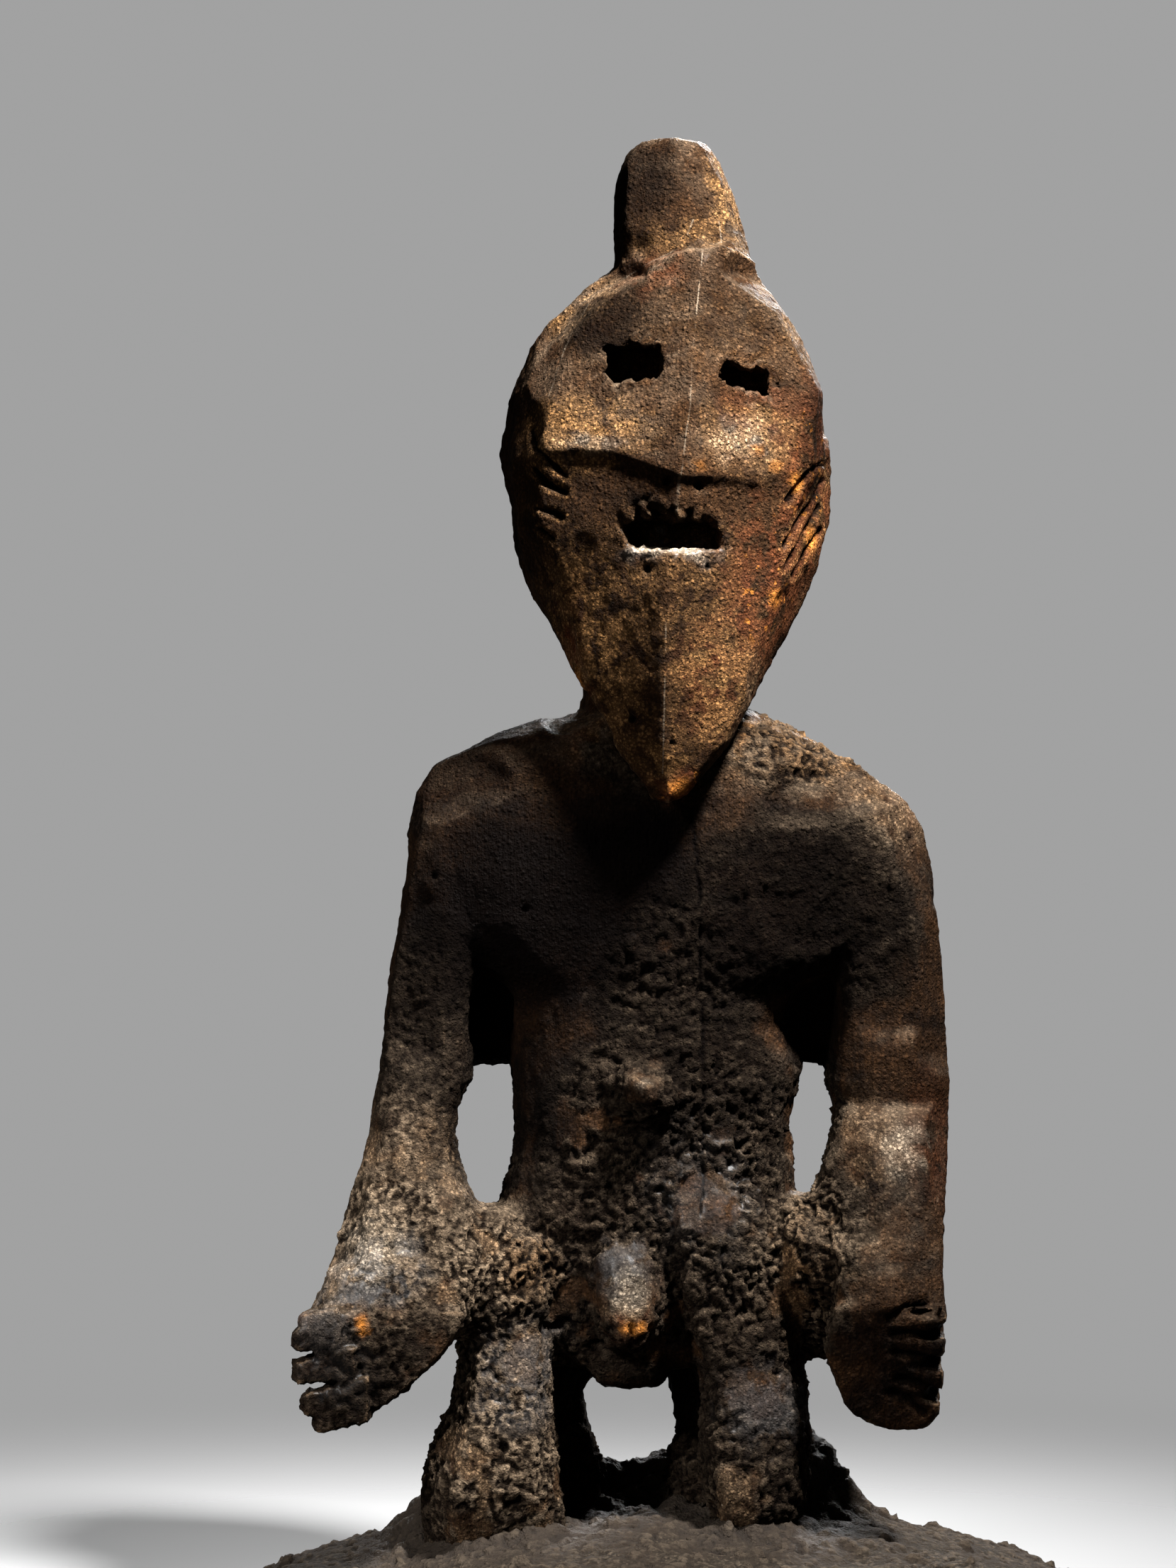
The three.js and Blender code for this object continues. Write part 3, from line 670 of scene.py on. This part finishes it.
# %% [markdown]
# ## The mound of earth
#
# The mound was packed wet around the legs and has dried to a sandy crust with grit, pits and a few
# clods. Only its upper side is uneven: it rests on a flat underside. Close to the legs the earth is
# drawn towards them and heaped up a little, so that no gap shows, and the offerings ran down onto
# it. A search tree of the figure's points tells how far from the wood each point of the earth is.

# %% Look up the figure's skin
skin = kdtree.KDTree(len(points))
for index, place in enumerate(points.tolist()):
    skin.insert(place, index)
skin.balance()
print("skin:", len(points), "points")

# %% Shape the earth
MOUND_NET = 1.9 if FINE else 4
DRAWN_IN = 3.0
DRAWN_UP = 2.2
mound = recast("earth_mound", "earth_mound_surface", MOUND_NET)
points = read_points(mound.data)
edges = edges_of(mound.data)
points = even_out(points, edges, 4, 0.5)
write_points(mound.data, points)
facing = read_points(mound.data, "normal")

nearest = np.array([skin.find(place)[0] for place in points.tolist()])
to_figure = nearest - points
distance = np.linalg.norm(to_figure, axis=1)
towards = to_figure / np.maximum(distance, 0.1)[:, None]
hug = 1 - step(2, 9, distance)
loose = step(3, 9, points[:, 2]) * step(-0.2, 0.25, facing[:, 2])

warp = np.column_stack([cloud(points, 12, shift, 2) for shift in (5.1, 13.7, 29.3)]) * 2.5
swell = 2.4 * cloud(points, 60, 1.0, 2) + 1.1 * cloud(points, 16, 2.0, 3)
grains = 1.2 * crumbs(points + warp, 6.0, 4.0) + 2.0 * billows(points, 12, 8.0)
lumps = step(0.25, 0.6, cloud(points, 15, 12.0, 2)) * (0.7 + clods(points + warp, 9, 5.0))
pits = step(0.35, 0.65, cloud(points, 6.5, 15.0, 2))
near_legs = 1 - step(6, 42, distance)
height = swell + grains + 3.2 * lumps - 2.4 * pits
height += near_legs * (0.8 + 4.5 * billows(points + warp, 16, 2.0))
points = points + facing * (height * loose)[:, None]
points += towards * (hug * DRAWN_IN * loose)[:, None] + np.outer(hug * DRAWN_UP * loose, (0, 0, 1))
points[:, 2] = np.maximum(points[:, 2], 0)
write_points(mound.data, points)
print("mound net:", len(points), "points, moved", height.min().round(1), "to", height.max().round(1))

# %% Keep the mound's masks
keep(mound.data, "crumb", proudness(points, facing, edges, 7, MOUND_NET))
keep(mound.data, "soaked", near_legs)
keep(mound.data, "pit", pits * loose)
keep(mound.data, "clod", lumps * loose)
thin(mound, MOUND_TRIANGLES)

# %% [markdown]
# ## Helpers for finishes
#
# A finish is a graph of nodes. `node` adds one and fills or links its sockets, `blend` lays one
# colour over another by a mask, and `lay` does so with a strength. `span` turns a range of values
# into a mask from 0 to 1.

# %% Node helpers
def node(tree, kind, values=None, **settings):
    """Adds one node, sets its options and fills or links its inputs."""
    made = tree.nodes.new(kind)
    for name, value in settings.items():
        setattr(made, name, value)
    for name, value in (values or {}).items():
        if isinstance(value, bpy.types.NodeSocket):
            tree.links.new(value, made.inputs[name])
        else:
            made.inputs[name].default_value = value
    return made


def maths(tree, operation, first, second=0.0, third=0.0, clamp=False):
    values = {0: first, 1: second, 2: third}
    return node(tree, "ShaderNodeMath", values, operation=operation, use_clamp=clamp).outputs[0]


def times(tree, first, second):
    return maths(tree, "MULTIPLY", first, second)


def vectors(tree, operation, first, second=(0, 0, 0), output="Vector"):
    """Works on vectors. SCALE takes a number as its second value."""
    values = {0: first, ("Scale" if operation == "SCALE" else 1): second}
    return node(tree, "ShaderNodeVectorMath", values, operation=operation).outputs[output]


def span(tree, value, low, high, lowest=0.0, highest=1.0):
    """The lowest below low, the highest above high, and smooth between them."""
    reach = {"Value": value, "From Min": low, "From Max": high, "To Min": lowest, "To Max": highest}
    return node(tree, "ShaderNodeMapRange", reach, interpolation_type="SMOOTHSTEP").outputs["Result"]


def blend(tree, share, below, above):
    """Lays one colour over another, by a mask."""
    below, above = [(*colour, 1) if isinstance(colour, tuple) else colour for colour in (below, above)]
    return node(tree, "ShaderNodeMix", {0: share, 6: below, 7: above}, data_type="RGBA").outputs[2]


def lay(tree, colour, above, share, strength):
    """Lays a colour over what is there, as strongly as the mask times a strength."""
    return blend(tree, times(tree, share, strength), colour, above)


def mask(tree, name):
    return node(tree, "ShaderNodeAttribute", attribute_name=name).outputs["Fac"]


def mottle(tree, steps, detail, roughness=0.5, distortion=0.0, scale=1.0, output="Fac"):
    """A soft noise, with features about one step across."""
    values = {"Vector": steps, "Scale": scale, "Detail": detail, "Roughness": roughness}
    values["Distortion"] = distortion
    return node(tree, "ShaderNodeTexNoise", values).outputs[output]


def places(tree, size, stretch=(1.0, 1.0, 1.0)):
    """The place on the piece, measured in steps of the given size in millimetres."""
    here = node(tree, "ShaderNodeTexCoord").outputs["Object"]
    shaped = vectors(tree, "MULTIPLY", here, stretch)
    return vectors(tree, "SCALE", shaped, maths(tree, "DIVIDE", 1 / MM, size))


# %% [markdown]
# ## Shared effects
#
# Grit is the finest relief, too small for the mesh, so it works through bump and through colour.
# Blotches break up every wash of colour. Flecks are rare bright or dark specks. Dust settles on what
# looks up. Each effect is a group with its sizes as inputs, so the wood and the earth share it.
# Fibres, worn edges and the painted highlight lines are made in the same way, and only the wood has them.

# %% Start an effect
def effect(name, inputs, outputs):
    """Starts a group of nodes and gives its tree, its inputs and its outputs."""
    tree = bpy.data.node_groups.new(name, "ShaderNodeTree")
    for title, value in inputs.items():
        kind = "NodeSocketVector" if isinstance(value, tuple) else "NodeSocketFloat"
        socket = tree.interface.new_socket(title, in_out="INPUT", socket_type=kind)
        socket.default_value = value
    for title in outputs:
        tree.interface.new_socket(title, in_out="OUTPUT", socket_type="NodeSocketFloat")
    return tree, tree.nodes.new("NodeGroupInput").outputs, tree.nodes.new("NodeGroupOutput").inputs


def cells_with_lots(tree, steps, scale):
    """Cells around scattered points: the distance from the point, and each cell's own number."""
    cells = node(tree, "ShaderNodeTexVoronoi", {"Vector": steps, "Scale": scale}).outputs
    lot = node(tree, "ShaderNodeSeparateColor", {"Color": cells["Color"]}).outputs["Red"]
    return cells["Distance"], lot


# %% Grit, blotches and flecks
def build_grit():
    tree, given, out = effect("grit", {"Size": 2.0}, ("Mask", "Height"))
    steps = places(tree, given["Size"])
    height = times(tree, mottle(tree, steps, 4.0, 0.7, scale=0.9), 1.6)
    for scale, share in ((0.62, 0.9), (1.25, 0.55)):
        away, lot = cells_with_lots(tree, steps, scale)
        dome = span(tree, away, 0.55, 0.05)
        height = maths(tree, "MULTIPLY_ADD", times(tree, dome, lot), share, height)
    tree.links.new(height, out["Height"])
    tree.links.new(span(tree, height, 0.7, 1.4), out["Mask"])
    return tree


def build_blotches():
    inputs = {"Size": 20.0, "Share": 0.5, "Softness": 0.05, "Shift": 0.0}
    tree, given, out = effect("blotches", inputs, ("Mask",))
    shifted = vectors(tree, "ADD", places(tree, given["Size"]), given["Shift"])
    middle = maths(tree, "SUBTRACT", 0.7, times(tree, given["Share"], 0.4))
    low = maths(tree, "SUBTRACT", middle, given["Softness"])
    high = maths(tree, "ADD", middle, given["Softness"])
    tree.links.new(span(tree, mottle(tree, shifted, 5.0, 0.6, 0.35), low, high), out["Mask"])
    return tree


def build_flecks():
    tree, given, out = effect("flecks", {"Size": 6.0, "Share": 0.1, "Width": 0.2}, ("Mask",))
    away, lot = cells_with_lots(tree, places(tree, given["Size"]), 1.0)
    chosen = maths(tree, "LESS_THAN", lot, given["Share"])
    inside = span(tree, away, times(tree, given["Width"], 1.5), given["Width"])
    tree.links.new(times(tree, chosen, inside), out["Mask"])
    return tree


# %% Dust, worn edges and fibres
def build_settled_dust():
    tree, given, out = effect("settled_dust", {"Size": 12.0, "Amount": 0.5}, ("Mask",))
    facing_up = node(tree, "ShaderNodeNewGeometry").outputs["Normal"]
    facing_up = node(tree, "ShaderNodeSeparateXYZ", {0: facing_up}).outputs["Z"]
    level = span(tree, facing_up, 0.0, 0.85)
    uneven = span(tree, mottle(tree, places(tree, given["Size"]), 4.0, 0.6), 0.35, 0.62)
    tree.links.new(times(tree, times(tree, level, uneven), given["Amount"]), out["Mask"])
    return tree


def build_worn_edges():
    inputs = {"Proud": 0.0, "Least": 0.1, "Most": 0.4, "Size": 5.0}
    tree, given, out = effect("worn_edges", inputs, ("Mask",))
    proud = span(tree, given["Proud"], given["Least"], given["Most"])
    kept = span(tree, mottle(tree, places(tree, given["Size"]), 3.0, 0.6), 0.36, 0.56)
    tree.links.new(times(tree, proud, kept), out["Mask"])
    return tree


def build_fibres():
    tree, given, out = effect("fibres", {"Size": 1.6}, ("Mask", "Height"))
    strands = mottle(tree, places(tree, given["Size"], (1.0, 1.0, 0.11)), 3.0, 0.55, 0.2)
    tree.links.new(strands, out["Height"])
    tree.links.new(span(tree, strands, 0.4, 0.62), out["Mask"])
    return tree


# %% Highlight lines
def build_highlight_line():
    inputs = {"Here": (0.0, 0.0, 0.0), "From": (0.0, 0.0, 0.0), "To": (0.0, 0.0, 100.0), "Width": 1.0}
    tree, given, out = effect("highlight_line", inputs, ("Mask",))
    along = vectors(tree, "SUBTRACT", given["To"], given["From"])
    offset = vectors(tree, "SUBTRACT", given["Here"], given["From"])
    reach = maths(tree, "DIVIDE", vectors(tree, "DOT_PRODUCT", offset, along, "Value"),
                  vectors(tree, "DOT_PRODUCT", along, along, "Value"), clamp=True)
    beside = vectors(tree, "SUBTRACT", offset, vectors(tree, "SCALE", along, reach))
    distance = vectors(tree, "LENGTH", beside, output="Value")
    line = span(tree, distance, given["Width"], times(tree, given["Width"], 0.3))
    tree.links.new(line, out["Mask"])
    return tree


EFFECTS = {tree.name: tree for tree in (build_grit(), build_blotches(), build_flecks(), build_fibres(),
                                        build_settled_dust(), build_worn_edges(), build_highlight_line())}


def use(tree, name, output="Mask", **values):
    """Places a shared effect with its own values and gives back one of its outputs."""
    return node(tree, "ShaderNodeGroup", values, node_tree=EFFECTS[name]).outputs[output]


print("shared effects:", ", ".join(EFFECTS))

# %% [markdown]
# ## Crusted wood
#
# From below upwards: smoke-dark wood, browner on the face; rust-red wood with small orange chips;
# dust caught on the grain, ochre on the face and greyer elsewhere; the crust, dark, with tan or brown
# on its crumbs; smooth bluish patina; a little settled dust; painted shade in the creases, the
# hollows, the scars and the pits of the grit; and soot over all of it where no hand or rain reached,
# some of its spots being painted shade. What cuts through the soot comes last: flakes of orange
# wood, worn edges, pale lines painted along the ridges as highlights, specks, and painted shade in
# the crack, the holes and the finger grooves. Smooth patina shines a little under a thin coat, and
# the crust is dull. The wood has almost no sheen below that coat: one strong lamp lights it, and any
# sheen would lay a grey veil over the black. The colours are low for the same lamp.

# %% Colours of the wood
PATINA = (0.0048, 0.0034, 0.0026)
WOOD = (0.0340, 0.0160, 0.0070)
FACE_BROWN = (0.075, 0.034, 0.0135)
OCHRE_DUST = (0.260, 0.132, 0.048)
DRY_DUST = (0.185, 0.118, 0.066)
RUST_RED = (0.105, 0.032, 0.012)
ORANGE = (0.420, 0.150, 0.026)
CRUST_DARK = (0.0070, 0.0050, 0.0036)
CRUST_TAN = (0.255, 0.182, 0.118)
CRUST_BROWN = (0.210, 0.118, 0.056)
BLUE_GREY = (0.050, 0.048, 0.047)
RUBBED = (0.200, 0.125, 0.070)
BONE = (0.500, 0.400, 0.290)
SOOT_AND_SHADE_BLACK = (0.0009, 0.0006, 0.0005)

# %% Pale lines painted as highlights along the ridges
# painted highlights where the ridges and the edges of the facets catch the light
RIDGE_HIGHLIGHT_LINES = [
    # from and to as x, y and z, then width and strength
    ((19.5, 0, 634), (14, 0, 582), 0.4, 0.16),
    ((14, 0, 582), (13, 0, 560.5), 0.4, 0.11),
    ((13, 0, 560.5), (8.5, 0, 526.5), 0.5, 0.12),
    ((8, 0, 526), (6.5, 0, 510), 1.0, 0.1),
    ((2, 0, 472), (0.5, 0, 392), 0.5, 0.1),
    ((12.5, 0, 641), (19.5, 0, 634), 0.5, 0.22),
    ((19.5, 0, 634), (28.5, 0, 638), 0.5, 0.22),
    ((12.5, 0, 641), (15.5, 0, 648), 0.5, 0.12),
    ((28.5, 0, 638), (27.5, 0, 648), 0.5, 0.1),
    ((14, 0, 637), (-30, 0, 615), 0.5, 0.05),
    ((-30, 0, 615), (-44, 0, 587), 0.5, 0.06),
    ((-44, 0, 587), (-51, 0, 565), 0.5, 0.08),
]


def start_finish(name, specular):
    finish = bpy.data.materials.new(name)
    finish.use_nodes = True
    tree = finish.node_tree
    surface = tree.nodes["Principled BSDF"]
    surface.inputs["Specular IOR Level"].default_value = specular
    return finish, tree, surface


def set_bump(tree, surface, relief, distance):
    bump = node(tree, "ShaderNodeBump", {"Height": relief, "Strength": 1.0, "Distance": distance * MM})
    tree.links.new(bump.outputs["Normal"], surface.inputs["Normal"])


def draw_ridge_highlights(tree, colour):
    """Paints pale highlight lines along the ridges and facet edges, as seen from the front, a little
    shaky and with gaps.
    """
    shaken = mottle(tree, places(tree, 7.0), 3.0, output="Color")
    here = vectors(tree, "ADD", shaken, places(tree, 1.0))
    here = vectors(tree, "SUBTRACT", here, (0.5, 0.5, 0.5))
    flat = vectors(tree, "MULTIPLY", here, (1, 0, 1))
    gaps = mottle(tree, places(tree, 15.0), 5.0)
    kept = times(tree, span(tree, gaps, 0.42, 0.62), mask(tree, "face"))
    for start, end, width, strength in RIDGE_HIGHLIGHT_LINES:
        line = use(tree, "highlight_line", Here=flat, From=start, To=end, Width=width)
        colour = lay(tree, colour, BONE, times(tree, line, kept), strength)
    return colour


# %% Bare wood with rust and dust
def colour_bare_wood(tree, grit):
    colour = blend(tree, use(tree, "blotches", Size=22.0, Share=0.5, Softness=0.2), PATINA, WOOD)
    colour = lay(tree, colour, FACE_BROWN, mask(tree, "face"), 0.22)
    colour = lay(tree, colour, PATINA, use(tree, "fibres", Size=1.8), 0.35)

    broken = use(tree, "blotches", Size=13.0, Share=0.6, Softness=0.07, Shift=7.0)
    colour = lay(tree, colour, RUST_RED, times(tree, mask(tree, "rust"), broken), 0.8)
    chips = use(tree, "blotches", Size=6.0, Share=0.18, Softness=0.03, Shift=3.0)
    chips = times(tree, chips, span(tree, mask(tree, "rust"), 0.45, 0.9))
    colour = lay(tree, colour, ORANGE, chips, 0.85)

    broken = use(tree, "blotches", Size=9.0, Share=0.61, Softness=0.07, Shift=11.0)
    ochre = times(tree, mask(tree, "ochre"), broken)
    caught = times(tree, ochre, maths(tree, "MULTIPLY_ADD", grit, 0.34, 0.36))
    warm = maths(tree, "MAXIMUM", mask(tree, "face"), mask(tree, "warm"))
    return blend(tree, caught, colour, blend(tree, warm, DRY_DUST, OCHRE_DUST)), ochre


# %% Crust over the wood
def lay_crust(tree, colour, grit, crust, crumb):
    dusty = maths(tree, "MULTIPLY_ADD", mask(tree, "ochre"), 0.85, 0.07)
    patches = use(tree, "blotches", Size=15.0, Share=0.65, Softness=0.12, Shift=31.0)
    dusty = maths(tree, "MULTIPLY_ADD", times(tree, dusty, patches), 0.9, 0.02)
    tan = times(tree, span(tree, crumb, -0.25, 0.45), dusty)
    dry_crust = blend(tree, mask(tree, "warm"), CRUST_TAN, CRUST_BROWN)
    crust_colour = blend(tree, tan, CRUST_DARK, dry_crust)
    crust_colour = lay(tree, crust_colour, CRUST_DARK, grit, 0.3)
    return lay(tree, colour, crust_colour, crust, 0.9)


# %% Patina and settled dust
def lay_patina(tree, colour, grit):
    broken = use(tree, "blotches", Size=12.0, Share=0.62, Softness=0.07, Shift=23.0)
    grey = times(tree, mask(tree, "grey"), broken)
    colour = lay(tree, colour, BLUE_GREY, grey, 0.75)
    colour = blend(tree, use(tree, "settled_dust", Size=14.0, Amount=0.2), colour, CRUST_TAN)
    pale = times(tree, mask(tree, "pale"), maths(tree, "MULTIPLY_ADD", grit, 0.45, 0.42))
    gloss = maths(tree, "MAXIMUM", times(tree, grey, 0.4), times(tree, mask(tree, "gloss"), broken))
    return blend(tree, pale, colour, BONE), grey, gloss


# %% Soot, painted shade and what cuts through them
def lay_soot_and_shade(tree, colour, grit, crumb):
    # painted shade in the creases between crumbs and in the deep hollows
    creases = times(tree, span(tree, crumb, -0.1, -0.9), 0.7)
    deep = times(tree, span(tree, mask(tree, "hollow"), 0.4, 2.2), 0.6)
    colour = blend(tree, maths(tree, "MAXIMUM", creases, deep), colour, SOOT_AND_SHADE_BLACK)
    colour = lay(tree, colour, OCHRE_DUST, mask(tree, "lip"), maths(tree, "MULTIPLY_ADD", grit, 0.5, 0.1))
    # painted shade in the scars
    colour = lay(tree, colour, SOOT_AND_SHADE_BLACK, mask(tree, "scar"), 0.85)
    # painted shade in the pits between the grains of the grit
    colour = lay(tree, colour, SOOT_AND_SHADE_BLACK, maths(tree, "SUBTRACT", 1.0, grit), 0.66)
    # soot, some of its spots painted shade
    return lay(tree, colour, SOOT_AND_SHADE_BLACK, mask(tree, "soot_and_shade"), 0.97)


def lay_wear(tree, colour, grit):
    flakes = times(tree, mask(tree, "chip"), maths(tree, "MULTIPLY_ADD", grit, 0.5, 0.4))
    colour = blend(tree, flakes, colour, ORANGE)
    worn = use(tree, "worn_edges", Proud=mask(tree, "edge"), Least=0.14, Most=0.55, Size=6.0)
    worn = times(tree, worn, span(tree, mask(tree, "soot_and_shade"), 0.0, 1.0, 0.7, 0.25))
    colour = draw_ridge_highlights(tree, blend(tree, worn, colour, RUBBED))
    colour = lay(tree, colour, BONE, use(tree, "flecks", Size=9.0, Share=0.015, Width=0.06), 0.6)
    # painted shade inside the crack, the holes and the finger grooves
    return lay(tree, colour, SOOT_AND_SHADE_BLACK, mask(tree, "crack"), 0.9)


# %% Shine and relief
def set_shine(tree, surface, grit, dull, grey, gloss):
    shine = span(tree, dull, 0.0, 1.0, 0.5, 0.92)
    shine = maths(tree, "SUBTRACT", shine, times(tree, grey, 0.15))
    tree.links.new(maths(tree, "MULTIPLY_ADD", grit, 0.08, shine), surface.inputs["Roughness"])
    tree.links.new(times(tree, gloss, 0.35), surface.inputs["Coat Weight"])
    surface.inputs["Coat Roughness"].default_value = 0.38


def set_relief(tree, surface, rough):
    """Grit where it is rough, and upright fibres where it is smooth."""
    rough = span(tree, rough, 0.0, 1.0, 0.35, 1.0)
    strands = times(tree, use(tree, "fibres", "Height", Size=1.4), span(tree, rough, 0.35, 1.0, 0.4, 0.0))
    relief = maths(tree, "MULTIPLY_ADD", use(tree, "grit", "Height", Size=1.7), rough, strands)
    set_bump(tree, surface, relief, 2.1)


# %% Mix the finish of the wood
def mix_crusted_wood():
    finish, tree, surface = start_finish("crusted_wood", 0.005)
    crust, crumb = mask(tree, "crust"), mask(tree, "crumb")
    grit = use(tree, "grit", Size=1.25)
    colour, ochre = colour_bare_wood(tree, grit)
    colour = lay_crust(tree, colour, grit, crust, crumb)
    colour, grey, gloss = lay_patina(tree, colour, grit)
    colour = lay_soot_and_shade(tree, colour, grit, crumb)
    colour = lay_wear(tree, colour, grit)
    tree.links.new(colour, surface.inputs["Base Color"])

    dull = maths(tree, "MAXIMUM", times(tree, crust, 0.9), ochre)
    set_shine(tree, surface, grit, dull, grey, gloss)
    rough = maths(tree, "MAXIMUM", crust, mask(tree, "face"))
    set_relief(tree, surface, maths(tree, "SUBTRACT", rough, grey))
    return finish


crusted_wood = mix_crusted_wood()
figure.data.materials.append(crusted_wood)
print("crusted wood:", len(crusted_wood.node_tree.nodes), "nodes")

# %% [markdown]
# ## Sandy earth
#
# The earth is dark sand with soil in it. Pale dust lies on its high grains and on what looks up.
# Its creases are darkened as painted shade, and its pits are darkened too, partly as painted shade
# and partly as the dark grit and small stones that lie in them. Where it was soaked beside the legs,
# it is browner, more even and a little smoother.

# %% Mix the finish of the earth
SAND = (0.0062, 0.0047, 0.0034)
SAND_PALE = (0.042, 0.0316, 0.0218)
SOIL = (0.0085, 0.0062, 0.0044)
SOAKED = (0.0100, 0.0074, 0.0055)
DARK_GRIT_AND_SHADE = (0.0060, 0.0046, 0.0036)


def mix_sandy_earth():
    finish, tree, surface = start_finish("sandy_earth", 0.03)
    crumb = mask(tree, "crumb")
    grit = use(tree, "grit", Size=2.4)
    colour = blend(tree, use(tree, "blotches", Size=20.0, Share=0.5, Softness=0.08), SOIL, SAND)
    colour = lay(tree, colour, SAND_PALE, span(tree, crumb, 0.1, 0.8), 0.4)
    colour = lay(tree, colour, SAND_PALE, use(tree, "settled_dust", Size=20.0, Amount=0.6), grit)
    patches = use(tree, "blotches", Size=14.0, Share=0.8, Softness=0.08, Shift=5.0)
    wet = times(tree, mask(tree, "soaked"), patches)
    colour = lay(tree, colour, SOAKED, wet, 0.8)
    # painted shade in the creases of the earth
    colour = lay(tree, colour, DARK_GRIT_AND_SHADE, span(tree, crumb, -0.1, -0.9), 0.75)
    # the pits darkened, partly painted shade and partly dark grit and small stones
    colour = lay(tree, colour, DARK_GRIT_AND_SHADE, mask(tree, "pit"), 0.6)
    colour = lay(tree, colour, SOIL, mask(tree, "clod"), 0.6)
    colour = lay(tree, colour, DARK_GRIT_AND_SHADE, use(tree, "flecks", Size=5.0, Share=0.2, Width=0.16), 0.7)
    tree.links.new(colour, surface.inputs["Base Color"])
    tree.links.new(span(tree, wet, 0.0, 1.0, 0.95, 0.7), surface.inputs["Roughness"])
    set_bump(tree, surface, use(tree, "grit", "Height", Size=2.4), 1.5)
    return finish


sandy_earth = mix_sandy_earth()
mound.data.materials.append(sandy_earth)
print("sandy earth:", len(sandy_earth.node_tree.nodes), "nodes")

# %% [markdown]
# ## The studio
#
# One small strong lamp stands high in front on the right, as in a museum's photograph, so that every
# facet and crumb throws a small shadow to the left and down. A weak one on the left lights the earth
# and the hand on that side, a broad one in front fills the shadows, one behind keeps the back
# readable, and an even sky adds a little everywhere. The floor is a plain sheet that fades out into
# the grey of the background, so that no horizon crosses the picture.

# %% Floor
FLOOR_RADIUS = 3.0
FLOOR_GREY = 0.11
FLOOR_HEIGHT = -0.5 * MM

bpy.ops.mesh.primitive_circle_add(vertices=96, radius=FLOOR_RADIUS, fill_type="NGON",
                                  location=(0, 0, FLOOR_HEIGHT))
floor = bpy.context.object
floor.name = "studio_floor"
paper, tree, surface = start_finish("pale_paper", 0.1)
surface.inputs["Base Color"].default_value = (FLOOR_GREY, FLOOR_GREY, FLOOR_GREY, 1)
surface.inputs["Roughness"].default_value = 0.9
away = vectors(tree, "LENGTH", node(tree, "ShaderNodeTexCoord").outputs["Object"], output="Value")
fading = span(tree, away, 0.32 * FLOOR_RADIUS, 0.06 * FLOOR_RADIUS)
tree.links.new(fading, surface.inputs["Alpha"])
floor.data.materials.append(paper)

# %% Lamps and sky
LAMPS = [
    # name, place, aim, size, spread in degrees, watts
    ("key", (0.6, -0.62, 1.92), (0, -0.03, 0.55), 0.25, 45, 31),
    ("side", (-1.1, -1.0, 1.0), (-0.18, -0.02, 0.06), 0.35, 28, 2.4),
    ("fill", (-1.2, -2.2, 0.6), (0, 0, 0.3), 1.2, 180, 5),
    ("back", (0.5, 2.2, 1.5), (0, 0, 0.4), 0.8, 50, 18),
]
for name, place, aim, size, spread, watts in LAMPS:
    lamp = bpy.data.lights.new(name, "AREA")
    lamp.shape = "DISK"
    lamp.size = size
    lamp.energy = watts
    lamp.spread = math.radians(spread)
    stand = bpy.data.objects.new(name, lamp)
    stand.location = place
    stand.rotation_euler = (Vector(aim) - Vector(place)).to_track_quat("-Z", "Y").to_euler()
    bpy.context.collection.objects.link(stand)

SKY_SEEN = 0.36
SKY_LIGHT = 0.04
world = bpy.data.worlds.new("studio")
world.use_nodes = True
sky = world.node_tree
seen = node(sky, "ShaderNodeLightPath").outputs["Is Camera Ray"]
sky.links.new(span(sky, seen, 0.0, 1.0, SKY_LIGHT, SKY_SEEN), sky.nodes["Background"].inputs["Strength"])
sky.nodes["Background"].inputs["Color"].default_value = (1, 1, 1, 1)
bpy.context.scene.world = world
bpy.context.scene.view_settings.view_transform = "Standard"

# %% Hand over the pieces
for piece, node_name, slot in ((figure, "figure", "crusted_wood"), (mound, "earth_mound", "sandy_earth")):
    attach(piece, "root")
    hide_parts(node_name)
